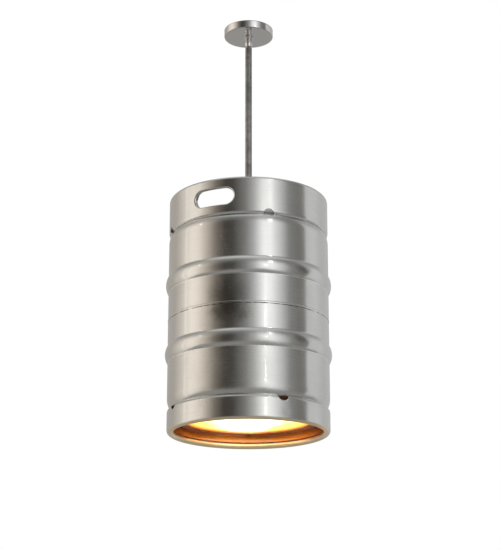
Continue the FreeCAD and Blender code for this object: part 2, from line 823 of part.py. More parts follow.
def chime_corners(groove, rise, edge, bead, direction):
    """Outer line of a chime, from the groove to its rolled bead; direction is +1 up, -1 down.

    The edge at the groove curls in until it meets the shell's knuckle.
    """
    width = f"(knuckle_radius - sqrt(knuckle_radius^2 - {rise}^2) - weld_gap)"
    curl = f"(({width}^2 + chime_curl_height^2) / (2 * {width}))"
    turn = "left" if direction > 0 else "right"
    step = f"{direction} *"
    centre = f"({edge} - {step} {bead})"
    return [
        (f"shell_radius - {width}", groove),
        ("shell_radius", f"{groove} + {step} chime_curl_height", curl, turn),
        ("shell_radius", centre),
        (f"shell_radius - {bead}", edge, bead, turn),
        (f"shell_radius - 2 * {bead}", centre, bead, turn),
        (f"shell_radius - {bead} - {bead} * cos(bead_tuck_angle)",
         f"{centre} - {step} {bead} * sin(bead_tuck_angle)", bead, turn)]


def obround_through(name, width, height, z):
    """Round-ended bar lying along Y through the whole keg, for the two hand holes."""
    profile = side_sketch(f"{name}_profile")
    reach, radius = f"({width} / 2 - {height} / 2)", f"({height} / 2)"
    outline(profile, [
        (f"-{reach}", f"{z} - {radius}", radius, "left"),
        (reach, f"{z} - {radius}"),
        (f"{reach} + {radius}", z, radius, "left"),
        (reach, f"{z} + {radius}", radius, "left"),
        (f"-{reach}", f"{z} + {radius}"),
        (f"-{reach} - {radius}", z, radius, "left")])
    bar = DOC.addObject("Part::Extrusion", name)
    bar.Base = profile
    bar.DirMode = "Custom"
    bar.Dir = V(0, 1, 0)
    bar.Solid = True
    bar.Symmetric = True
    tie(bar, "LengthFwd", "2 * (shell_radius + bar_overrun)")
    return bar


def make_top_chime():
    """Top collar: rolled rim, two hand holes with turned-in lips and four drain notches."""
    sheet = spun_sheet("top_chime", chime_corners(TOP_GROOVE, "top_knuckle_rise", KEG_TOP,
                                                  "top_bead_radius", 1), "chime_wall", LEFT)
    hand_height = f"{KEG_TOP} - handle_drop"
    lip = DOC.addObject("Part::Cylinder", "lip_outside")
    core = DOC.addObject("Part::Cylinder", "lip_inside")
    for cylinder, radius in ((lip, "shell_radius - chime_wall / 2"),
                             (core, "shell_radius - handle_flange")):
        tie(cylinder, "Radius", radius)
        tie(cylinder, "Height", "handle_height + 4 * chime_wall")
        place(cylinder, z=f"{hand_height} - handle_height / 2 - 2 * chime_wall")
    outer = obround_through("hand_lip", "handle_width + 2 * chime_wall",
                            "handle_height + 2 * chime_wall", hand_height)
    inner = obround_through("hand_hole", "handle_width", "handle_height", hand_height)
    lips = pair("Common", "hand_lips", pair("Cut", "lip_band", lip, core), outer)
    blank = pair("Fuse", "top_chime_blank", sheet, lips)
    bars = [bar_through(f"top_notch_{k}", "top_notch_radius", "2 * (shell_radius + bar_overrun)",
                        TOP_GROOVE, f"(top_notch_angle + {NOTCH_CROSS * k} - 90)")
            for k in range(2)]
    cutters = several("MultiFuse", "top_chime_cutters", [inner, *bars])
    keep(pair("Cut", "top_chime_cut", blank, cutters), "top_chime")


def make_bottom_chime():
    """Foot ring: rolled bead and four half-round drain notches in its upper edge."""
    sheet = spun_sheet("bottom_chime",
                       chime_corners(BOTTOM_GROOVE, "bottom_knuckle_rise", KEG_BASE,
                                     "bottom_bead_radius", -1), "chime_wall", RIGHT)
    bars = [bar_through(f"bottom_notch_{k}", "bottom_notch_radius",
                        "2 * (shell_radius + bar_overrun)", BOTTOM_GROOVE,
                        f"(bottom_notch_angle + {NOTCH_CROSS * k} - 90)")
            for k in range(2)]
    cutters = several("MultiFuse", "bottom_chime_cutters", bars)
    keep(pair("Cut", "bottom_chime_cut", sheet, cutters), "bottom_chime")


# Lamp cluster -----------------------------------------------------------------------------

SLOPE_RUN = "(cluster_cover_radius - cluster_wall - cluster_fit - cluster_nose_radius)"
SLOPE_RISE = "(cluster_depth - cluster_skirt_drop)"
SLOPE_RADIUS = f"(cluster_nose_radius + {SLOPE_RUN} / 2)"
SLOPE_DROP = f"(cluster_skirt_drop + {SLOPE_RISE} / 2)"
SOCKET_TILT = f"(90 deg + atan({SLOPE_RUN} / {SLOPE_RISE}))"


def aim(item, index, along="0"):
    """Turn a piece, drawn about +Z, to stand out of the cluster's slope at its lamp's place."""
    turn = index * 360.0 / LAMPS
    radius = f"({SLOPE_RADIUS} + {along} * sin({SOCKET_TILT}))"
    place(item, f"{radius} * cos({turn})", f"{radius} * sin({turn})",
          f"{CLUSTER_TOP} - {SLOPE_DROP} + {along} * cos({SOCKET_TILT})")
    item.Placement.Rotation = FreeCAD.Rotation(V(0, 0, 1), turn).multiply(
        FreeCAD.Rotation(V(0, 1, 0), value(SOCKET_TILT)))
    return item


def make_cluster():
    """Cover and conical body of the lamp cluster, with a hole for each socket."""
    corner = "cluster_cover_corner"
    cover = spun_sheet("cluster_cover", [
        (ROD_HOLE, CLUSTER_TOP),
        (f"cluster_cover_radius - {corner}", CLUSTER_TOP),
        ("cluster_cover_radius", f"{CLUSTER_TOP} - {corner}", corner, "right"),
        ("cluster_cover_radius", f"{CLUSTER_TOP} - cluster_cover_skirt")], "cluster_wall", RIGHT)
    keep(cover, "cluster_cover")
    rim = "cluster_cover_radius - cluster_wall - cluster_fit"
    bowl = spun_sheet("cluster_bowl", [
        ("0", f"{CLUSTER_TOP} - cluster_depth"),
        ("cluster_nose_radius", f"{CLUSTER_TOP} - cluster_depth"),
        (rim, f"{CLUSTER_TOP} - cluster_skirt_drop"),
        (rim, f"{CLUSTER_TOP} - cluster_wall - cluster_rim_drop")], "cluster_wall", LEFT)
    holes = []
    for index in range(LAMPS):
        hole = DOC.addObject("Part::Cylinder", f"socket_hole_{index + 1}")
        tie(hole, "Radius", "socket_neck_radius + socket_hole_clearance")
        tie(hole, "Height", "2 * socket_neck_length")
        holes.append(aim(hole, index, "(-socket_neck_length)"))
    cutters = several("MultiFuse", "socket_holes", holes)
    keep(pair("Cut", "cluster_bowl_cut", bowl, cutters), "cluster_body")


def make_socket(index):
    """Lamp socket: a sleeve with a closed floor and a hollow neck into the cluster."""
    bore = "(bulb_base_radius + bulb_fit)"
    floor = "(socket_length - socket_bore_depth)"
    name = f"lamp_socket_{index + 1}"
    socket = turned(name, [
        ("socket_neck_radius - socket_neck_wall", "-socket_neck_length"),
        ("socket_neck_radius", "-socket_neck_length"),
        ("socket_neck_radius", "0"),
        ("socket_radius - socket_edge", "0"),
        ("socket_radius", "socket_edge", "socket_edge", "left"),
        ("socket_radius", "socket_length"),
        (bore, "socket_length"),
        (bore, floor),
        ("0", floor),
        ("0", f"{floor} / 2"),
        ("socket_neck_radius - socket_neck_wall", f"{floor} / 2")])
    keep(aim(socket, index), name)


def make_bulb(index):
    """Screw-base bulb: cement-filled base with a rolled thread, and its glass."""
    low = "(socket_length - socket_bore_depth + bulb_fit)"
    top = f"({low} + bulb_base_length)"
    radius, depth, pitch = "bulb_base_radius", "bulb_thread_depth", "bulb_thread_pitch"
    thread_low = f"({low} + bulb_thread_start)"
    corners = [("0", low), ("bulb_tip_radius", low),
               ("bulb_tip_radius + bulb_tip_width", f"{low} + bulb_tip_height"),
               (f"{radius} - bulb_shoulder_inset", f"{low} + bulb_shoulder_height"),
               (f"{radius} - {depth}", thread_low)]
    for turn in range(BULB_THREADS):
        foot = f"{thread_low} + {turn} * {pitch}"
        corners += [(radius, f"{foot} + {pitch} / 2"), (f"{radius} - {depth}", f"{foot} + {pitch}")]
    corners += [(radius, f"{thread_low} + {BULB_THREADS} * {pitch} + bulb_thread_land"),
                (radius, top), ("0", top)]
    name = f"bulb_base_{index + 1}"
    keep(aim(turned(name, corners), index), name)
    neck = f"({top} + bulb_neck_length)"
    arms = "(bulb_glass_radius + bulb_neck_sweep)"
    side = f"({radius} + bulb_neck_sweep)"
    rise = f"sqrt({arms}^2 - {side}^2)"
    centre = f"({neck} + {rise})"
    name = f"bulb_glass_{index + 1}"
    glass = spun_sheet(name, [
        (radius, top),
        (radius, neck),
        (f"bulb_glass_radius * {side} / {arms}", f"{centre} - bulb_glass_radius * {rise} / {arms}",
         "bulb_neck_sweep", "right"),
        ("0", f"{centre} + bulb_glass_radius", "bulb_glass_radius", "left")],
        "bulb_glass_wall", LEFT)
    keep(aim(glass, index), name)


# Mouth of the keg -------------------------------------------------------------------------


def make_trim_ring():
    """Flat ring in the mouth, with a hole for each of its screws."""

    def annulus(sketch):
        circle(sketch, "0", "0", TRIM_OUTER)
        circle(sketch, "0", "0", TRIM_INNER)

    ring = padded("trim_ring", annulus, "trim_thickness")
    hole = cut_down(ring, "screw_hole",
                    lambda s: circle(s, f"{SCREW_CIRCLE} * cos(screw_angle)",
                                     f"{SCREW_CIRCLE} * sin(screw_angle)", "screw_radius"))
    repeat_round(ring, hole, TRIM_SCREWS)
    place(ring, z=f"{KEG_BASE} + trim_height")
    keep(ring, "trim_ring")


def make_diffuser():
    """Frosted disc that lies on the trim ring."""
    disc = turned("diffuser", [
        ("0", "0"), (DIFFUSER, "0"),
        (DIFFUSER, "diffuser_thickness - diffuser_edge"),
        (f"{DIFFUSER} - diffuser_edge", "diffuser_thickness"),
        ("0", "diffuser_thickness")])
    place(disc, z=TRIM_TOP)
    keep(disc, "diffuser")


def make_trim_screws():
    """Dome-head screws up through the trim ring into the brackets."""
    screws = []
    for index in range(TRIM_SCREWS):
        turn = f"(screw_angle + {index * 360.0 / TRIM_SCREWS})"
        tip = "trim_thickness + bracket_gap + bracket_wall + screw_above_bracket"
        screw = turned(f"trim_screw_{index + 1}", [
            ("0", "-screw_head_height"),
            ("screw_head_radius - screw_head_edge", "-screw_head_height"),
            ("screw_head_radius", "-screw_head_height + screw_head_edge",
             "screw_head_edge", "left"),
            ("screw_head_radius", "0"),
            ("screw_radius", "0"),
            ("screw_radius", tip),
            ("0", tip)])
        place(screw, f"{SCREW_CIRCLE} * cos{turn}", f"{SCREW_CIRCLE} * sin{turn}",
              f"{KEG_BASE} + trim_height")
        screws.append(screw)
    keep(several("Compound", "trim_screw_set", screws), "trim_screws")


def make_brackets():
    """Angle tabs welded under the cut rim of the lower shell, tapped for the screws."""
    foot_z = f"({TRIM_TOP} + bracket_gap)"
    rim_z = f"({BOTTOM_KNUCKLE} + {DOME_OFFSET} - sqrt({DOME}^2 - {BRACKET_LEG}^2))"
    leg_in = f"({BRACKET_LEG} - bracket_wall)"
    rim_in = f"({BOTTOM_KNUCKLE} + {DOME_OFFSET} - sqrt({DOME}^2 - {leg_in}^2))"
    brackets = []
    for index in range(TRIM_SCREWS):
        body = new_body(f"bracket_{index + 1}")
        sketch = body_sketch(body, "XZ_Plane", f"bracket_{index + 1}_side")
        outline(sketch, [
            (BRACKET_INNER, foot_z),
            (BRACKET_LEG, foot_z),
            (BRACKET_LEG, f"{rim_z} - weld_gap"),
            (leg_in, f"{rim_in} - weld_gap"),
            (leg_in, f"{foot_z} + bracket_wall"),
            (BRACKET_INNER, f"{foot_z} + bracket_wall")])
        pad = body.newObject("PartDesign::Pad", f"bracket_{index + 1}_pad")
        pad.Profile = sketch
        pad.Midplane = True
        tie(pad, "Length", "bracket_width")
        DOC.recompute()
        cut_down(body, f"bracket_{index + 1}_hole",
                 lambda s: circle(s, SCREW_CIRCLE, "0", "screw_radius + screw_hole_clearance"),
                 "bracket_wall + 2 * drill_overrun", f"{foot_z} + bracket_wall + drill_overrun")
        tie(body, "Placement.Rotation.Angle", f"screw_angle + {index * 360.0 / TRIM_SCREWS}")
        brackets.append(body)
    keep(several("Compound", "bracket_set", brackets), "ring_brackets")


# Whole lamp -------------------------------------------------------------------------------


def build():
    """Make every sub-part."""
    make_crossbar()
    make_ground_screw()
    make_nipple()
    make_canopy()
    make_collar()
    make_swivel_housing()
    make_swivel_cap()
    make_seat_rings()
    make_ball()
    make_leads()
    make_down_rod()
    make_neck_boss()
    make_neck_plug()
    make_rod_fasteners()
    make_stem()
    make_upper_shell()
    make_lower_shell()
    make_girth_weld()
    make_top_chime()
    make_bottom_chime()
    make_cluster()
    for index in range(LAMPS):
        make_socket(index)
        make_bulb(index)
    make_trim_ring()
    make_diffuser()
    make_trim_screws()
    make_brackets()
    DOC.recompute()


def check():
    """Stop if any object failed or any sub-part isn't a valid solid."""
    for item in DOC.Objects:
        if {"Invalid", "Error"} & set(item.State):
            raise RuntimeError(f"{item.Name} failed: {item.State}")
    for item in PARTS:
        shape = item.Shape
        if shape.isNull() or not shape.isValid() or not shape.Solids:
            raise RuntimeError(f"{item.Label} has no valid solid")


def write():
    """Write each sub-part to its own STEP file."""
    os.makedirs("parts", exist_ok=True)
    for item in PARTS:
        item.Shape.exportStep(f"parts/{item.Label}.step")
        box = item.Shape.BoundBox
        print(f"{item.Label:22s} solids {len(item.Shape.Solids)}  volume {item.Shape.Volume:11.1f}"
              f"  z {box.ZMin:9.2f} to {box.ZMax:9.2f}  r {box.XMax:7.2f}")


build()
check()
write()
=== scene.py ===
"""Pendant lamp made from a stainless beer keg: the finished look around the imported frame.

Everything is in metres in the row frame: the origin is the middle of the ceiling plane, +Z is up,
and the hand holes face -Y and +Y. Sizes that the frame doesn't give are dataclass fields.
"""
import logging
import math
from dataclasses import dataclass, field, replace
from enum import Enum
from typing import Optional, Sequence

import bmesh
import bpy
from mathutils import Matrix, Vector, noise


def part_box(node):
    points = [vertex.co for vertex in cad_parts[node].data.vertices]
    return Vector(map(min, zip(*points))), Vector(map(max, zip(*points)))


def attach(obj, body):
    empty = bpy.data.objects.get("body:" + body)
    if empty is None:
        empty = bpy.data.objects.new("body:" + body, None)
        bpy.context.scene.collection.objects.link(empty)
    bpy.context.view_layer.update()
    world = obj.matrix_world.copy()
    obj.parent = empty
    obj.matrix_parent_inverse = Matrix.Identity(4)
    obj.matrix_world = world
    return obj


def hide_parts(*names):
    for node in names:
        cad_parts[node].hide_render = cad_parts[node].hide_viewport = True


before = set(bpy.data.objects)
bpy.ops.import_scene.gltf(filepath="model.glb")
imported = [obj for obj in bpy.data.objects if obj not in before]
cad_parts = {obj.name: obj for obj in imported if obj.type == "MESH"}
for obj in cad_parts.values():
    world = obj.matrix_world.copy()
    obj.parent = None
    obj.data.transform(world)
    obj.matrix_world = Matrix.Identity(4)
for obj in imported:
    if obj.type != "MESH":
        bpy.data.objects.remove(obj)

LOG = logging.getLogger("keg_pendant")
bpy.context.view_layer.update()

Point = tuple[float, float]
Colour = tuple[float, float, float, float]
MM = 0.001
NEAR_EDGE = 4 * MM
TINY = 1e-6


# Small helpers ----------------------------------------------------------------------------


class Turn(Enum):
    """Which way an arc bends as the outline runs."""

    LEFT = 1
    RIGHT = -1


def top_of(node: str) -> float:
    """Height of a node's highest point."""
    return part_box(node)[1][2]


def base_of(node: str) -> float:
    """Height of a node's lowest point."""
    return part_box(node)[0][2]


def radius_of(node: str) -> float:
    """Outer radius of a node that is turned about the lamp's axis."""
    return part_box(node)[1][0]


def grey(level: float, warmth: float = 0.0) -> Colour:
    """A grey with a little more red and less blue.

    Args:
        level: linear brightness.
        warmth: share added to red and taken from blue.

    Returns:
        The colour with alpha 1.
    """
    return (level * (1 + warmth), level, level * (1 - warmth), 1.0)


class Outline:
    """Half section of a turned piece: points of radius and height, with arcs filled in."""

    def __init__(self, start: Point, step: float = 2 * MM) -> None:
        """Begin at a point, with arcs and long lines divided about every step."""
        self.points: list[Point] = [start]
        self.step = step

    def line(self, radius: float, height: float) -> "Outline":
        """Run straight to a point."""
        r0, z0 = self.points[-1]
        length = math.hypot(radius - r0, height - z0)
        count = max(1, round(length / self.step))
        for k in range(1, count + 1):
            share = k / count
            self.points.append((r0 + (radius - r0) * share, z0 + (height - z0) * share))
        return self

    def arc(self, radius: float, height: float, bend: float, turn: Turn,
            steps: int = 0) -> "Outline":
        """Run to a point along an arc of under half a circle.

        Args:
            radius: the end's distance from the axis.
            height: the end's height.
            bend: the arc's own radius.
            turn: which way it bends.
            steps: number of divisions, or 0 to choose by length.

        Returns:
            The outline itself.
        """
        start = Vector(self.points[-1])
        end = Vector((radius, height))
        chord = end - start
        rise = math.sqrt(max(bend ** 2 - chord.length_squared / 4, 0.0))
        left = Vector((-chord.y, chord.x)).normalized()
        middle = start + chord / 2 + left * rise * turn.value
        sweep = 2 * math.asin(min(1.0, chord.length / (2 * bend))) * turn.value
        count = steps or max(4, round(abs(sweep) * bend / self.step), round(abs(sweep) / 0.2))
        arm = start - middle
        for k in range(1, count + 1):
            angle = sweep * k / count
            spot = middle + Matrix.Rotation(angle, 2) @ arm
            self.points.append((spot.x, spot.y))
        return self


@dataclass(frozen=True)
class Hole:
    """A hole cut squarely through a turned sheet: round-ended, or round when its reach is 0.

    The outline is measured across the sheet, sideways from the hole's bearing and in height.
    """

    bearing: float
    height: float
    radius: float
    reach: float = 0.0

    def offset(self, x: float, y: float, z: float) -> Vector:
        """Vector in the sheet's plane from the hole's spine to a point."""
        sideways = -x * math.sin(self.bearing) + y * math.cos(self.bearing)
        ahead = x * math.cos(self.bearing) + y * math.sin(self.bearing)
        if ahead < 0:
            return Vector((1.0, 1.0))
        spine = max(-self.reach, min(self.reach, sideways))
        return Vector((sideways - spine, z - self.height))

    def depth(self, x: float, y: float, z: float) -> float:
        """Signed distance to the hole's edge, negative inside."""
        return self.offset(x, y, z).length - self.radius


def wander(point: Vector, scale: float, seed: float) -> float:
    """Smooth noise from -1 to 1 at a place."""
    return noise.noise(Vector(point) / scale + Vector((seed, seed * 0.7, -seed)))


@dataclass
class TurnedSheet:
    """Sheet metal turned about the lamp's axis, with holes, lips and the waviness of use."""

    outline: Outline
    wall: float
    segments: int = 480
    holes: Sequence[Hole] = ()
    lip_round: float = 0.0
    lip_depth: float = 0.0
    wave: float = 0.0
    seed: float = 0.0
    dents: Sequence[tuple[float, float, float, float]] = ()
    edge_round: float = 0.0

    def make(self, name: str) -> bpy.types.Object:
        """Build the mesh object.

        Args:
            name: the piece's name.

        Returns:
            The object, with its wall as a modifier that thickens it inwards.
        """
        mesh = bmesh.new()
        rows = [[mesh.verts.new(self._spot(r, z, turn)) for turn in range(self.segments)]
                for r, z in self.outline.points]
        for low, high in zip(rows, rows[1:]):
            for k in range(self.segments):
                j = (k + 1) % self.segments
                mesh.faces.new((low[k], low[j], high[j], high[k]))
        for hole in self.holes:
            self._cut(mesh, hole)
        if self.wave or self.dents:
            self._wear(mesh)
        bmesh.ops.recalc_face_normals(mesh, faces=mesh.faces)
        piece = finish_mesh(mesh, name)
        self._face_outwards(piece)
        thick = piece.modifiers.new("wall", "SOLIDIFY")
        thick.thickness = self.wall
        thick.offset = -1.0
        thick.use_even_offset = True
        round_edges(piece, self.edge_round or self.wall * 0.3, 2, 60)
        return piece

    def _spot(self, radius: float, height: float, turn: int) -> Vector:
        """Place of one corner of the grid."""
        angle = 2 * math.pi * turn / self.segments
        return Vector((radius * math.cos(angle), radius * math.sin(angle), height))

    def _cut(self, mesh: bmesh.types.BMesh, hole: Hole) -> None:
        """Remove the faces inside a hole and bring the edge that is left onto its outline."""
        inside = [face for face in mesh.faces
                  if hole.depth(*face.calc_center_median()) < 0]
        if not inside:
            return
        bmesh.ops.delete(mesh, geom=inside, context="FACES")
        rim = [v for v in mesh.verts
               if v.is_boundary and abs(hole.depth(*v.co)) < NEAR_EDGE]
        for vert in rim:
            self._pull(vert, hole)
        if self.lip_depth and hole.reach:
            self._lip(mesh, hole, rim)

    def _pull(self, vert: bmesh.types.BMVert, hole: Hole) -> None:
        """Move a corner along the sheet onto the hole's outline."""
        away = hole.offset(*vert.co)
        if away.length < 1e-9:
            return
        move = away.normalized() * (hole.radius - away.length)
        angle = math.atan2(vert.co.y, vert.co.x) + move.x / math.hypot(vert.co.x, vert.co.y)
        height = vert.co.z + move.y
        radius = self._radius_at(height, math.hypot(vert.co.x, vert.co.y))
        vert.co = Vector((radius * math.cos(angle), radius * math.sin(angle), height))

    def _radius_at(self, height: float, near: float) -> float:
        """Radius of the outline at a height, on the stretch nearest a radius."""
        found = [near]
        for (r0, z0), (r1, z1) in zip(self.outline.points, self.outline.points[1:]):
            if min(z0, z1) <= height <= max(z0, z1) and abs(z1 - z0) > 1e-9:
                found.append(r0 + (r1 - r0) * (height - z0) / (z1 - z0))
        return min(found[1:] or found, key=lambda r: abs(r - near))

    def _lip(self, mesh: bmesh.types.BMesh, hole: Hole, rim: list) -> None:
        """Turn the hole's edge inwards with a rounded lip."""
        chosen = set(rim)
        edges = [e for e in mesh.edges if e.is_boundary and set(e.verts) <= chosen]
        stations = [(self.lip_round * math.sin(math.radians(a)),
                     self.lip_round * (1 - math.cos(math.radians(a)))) for a in (22, 45, 67, 90)]
        stations += [(self.lip_round, self.lip_round + self.lip_depth * k / 3) for k in (1, 2, 3)]
        starts = {v: v.co.copy() for v in rim}
        previous = {v: v for v in rim}
        aside = Vector((-math.sin(hole.bearing), math.cos(hole.bearing), 0))
        for across, inwards in stations:
            ring = {}
            for vert, start in starts.items():
                away = hole.offset(*start).normalized()
                towards = -(aside * away.x + Vector((0, 0, away.y)))
                radial = Vector((start.x, start.y, 0)).normalized()
                ring[vert] = mesh.verts.new(start + towards * across - radial * inwards)
            for edge in edges:
                a, b = edge.verts
                mesh.faces.new((previous[a], previous[b], ring[b], ring[a]))
            previous = ring

    def _wear(self, mesh: bmesh.types.BMesh) -> None:
        """Push the sheet in and out a little, as handling and filling do."""
        for vert in mesh.verts:
            radial = Vector((vert.co.x, vert.co.y, 0))
            if radial.length < TINY:
                continue
            shift = self.wave * (wander(vert.co, 0.11, self.seed)
                                 + 0.25 * wander(vert.co, 0.035, self.seed + 5))
            for bearing, height, size, depth in self.dents:
                centre = Vector((radial.length * math.cos(bearing),
                                 radial.length * math.sin(bearing), height))
                gap = (vert.co - centre).length / size
                if gap < 3:
                    shift -= depth * math.exp(-gap * gap)
            vert.co += radial.normalized() * shift

    @staticmethod
    def _face_outwards(piece: bpy.types.Object) -> None:
        """Flip the mesh if most of its area faces the axis."""
        mesh = piece.data
        score = sum(f.area * (f.normal.x * f.center.x + f.normal.y * f.center.y)
                    for f in mesh.polygons)
        if score < 0:
            mesh.flip_normals()


def round_edges(piece: bpy.types.Object, width: float, segments: int,
                angle: float) -> bpy.types.Modifier:
    """Bevel the edges that bend by more than an angle in degrees."""
    bevel = piece.modifiers.new("edges", "BEVEL")
    bevel.width = width
    bevel.segments = segments
    bevel.limit_method = "ANGLE"
    bevel.angle_limit = math.radians(angle)
    return bevel


def finish_mesh(mesh: bmesh.types.BMesh, name: str) -> bpy.types.Object:
    """Turn a bmesh into a smooth-shaded object in the scene.

    Args:
        mesh: the mesh, which is freed.
        name: the object's name.

    Returns:
        The new object.
    """
    data = bpy.data.meshes.new(name)
    mesh.to_mesh(data)
    mesh.free()
    data.shade_smooth()
    piece = bpy.data.objects.new(name, data)
    bpy.context.scene.collection.objects.link(piece)
    return piece


def lathe(name: str, points: Sequence[Point], segments: int,
          rounding: float) -> bpy.types.Object:
    """A solid ring from its closed half section.

    Args:
        name: the object's name.
        points: corners of the section as (radius, height).
        segments: divisions round the axis.
        rounding: width of the bevel on its sharp edges.

    Returns:
        The new object.
    """
    mesh = bmesh.new()
    rows = [[mesh.verts.new((radius * math.cos(2 * math.pi * k / segments),
                             radius * math.sin(2 * math.pi * k / segments), height))
             for k in range(segments)] for radius, height in points]
    for low, high in zip(rows, rows[1:] + rows[:1]):
        for k in range(segments):
            j = (k + 1) % segments
            mesh.faces.new((low[k], low[j], high[j], high[k]))
    bmesh.ops.recalc_face_normals(mesh, faces=mesh.faces)
    piece = finish_mesh(mesh, name)
    round_edges(piece, rounding, 3, 25).harden_normals = True
    return piece


# Finishes ---------------------------------------------------------------------------------


class Graph:
    """A node tree with short ways to add and join its nodes."""

    def __init__(self, tree: bpy.types.NodeTree) -> None:
        """Work on a tree."""
        self.tree = tree

    def node(self, kind: str, **settings: object) -> bpy.types.Node:
        """Add a node and set its properties.

        Args:
            kind: the node's type name after "ShaderNode".
            **settings: properties of the node.

        Returns:
            The node.
        """
        made = self.tree.nodes.new("ShaderNode" + kind)
        for name, value in settings.items():
            setattr(made, name, value)
        return made

    def feed(self, socket: bpy.types.NodeSocket, value: object) -> None:
        """Join another socket to this one, or set its own value."""
        if isinstance(value, bpy.types.NodeSocket):
            self.tree.links.new(value, socket)
        else:
            socket.default_value = value

    def math(self, operation: str, a: object, b: object = 0.0,
             clamp: bool = False) -> bpy.types.NodeSocket:
        """Output of one sum."""
        made = self.node("Math", operation=operation, use_clamp=clamp)
        self.feed(made.inputs[0], a)
        self.feed(made.inputs[1], b)
        return made.outputs[0]

    def span(self, value: object, low: float, high: float, to_low: float = 0.0,
             to_high: float = 1.0, smooth: bool = False) -> bpy.types.NodeSocket:
        """Value moved from one range to another and kept inside it.

        Args:
            value: the value or socket.
            low: start of the first range.
            high: end of the first range.
            to_low: start of the second range.
            to_high: end of the second range.
            smooth: ease in and out.

        Returns:
            The output socket.
        """
        made = self.node("MapRange", interpolation_type="SMOOTHSTEP" if smooth else "LINEAR")
        for socket, entry in zip(made.inputs, (value, low, high, to_low, to_high)):
            self.feed(socket, entry)
        return made.outputs[0]

    def blend(self, share: object, first: object, second: object) -> bpy.types.NodeSocket:
        """Colour part way between two colours."""
        made = self.node("Mix", data_type="RGBA")
        self.feed(made.inputs[0], share)
        self.feed(made.inputs[6], first)
        self.feed(made.inputs[7], second)
        return made.outputs[2]

    def noise(self, vector: object, scale: float, detail: float = 4.0,
              rough: float = 0.55) -> bpy.types.NodeSocket:
        """Value of a noise texture at a vector."""
        made = self.node("TexNoise")
        self.feed(made.inputs["Vector"], vector)
        made.inputs["Scale"].default_value = scale
        made.inputs["Detail"].default_value = detail
        made.inputs["Roughness"].default_value = rough
        return made.outputs[0]

    def place(self) -> bpy.types.NodeSocket:
        """Place on the surface in the piece's own coordinates."""
        return self.node("TexCoord").outputs["Object"]

    def parts(self, vector: object) -> tuple:
        """X, Y and Z of a vector."""
        made = self.node("SeparateXYZ")
        self.feed(made.inputs[0], vector)
        return tuple(made.outputs)

    def vector(self, x: object, y: object, z: object) -> bpy.types.NodeSocket:
        """Vector from its parts."""
        made = self.node("CombineXYZ")
        for socket, entry in zip(made.inputs, (x, y, z)):
            self.feed(socket, entry)
        return made.outputs[0]

    def reach(self, x: object, y: object) -> bpy.types.NodeSocket:
        """Distance from the axis."""
        return self.math("SQRT", self.math("ADD", self.math("MULTIPLY", x, x),
                                           self.math("MULTIPLY", y, y)))


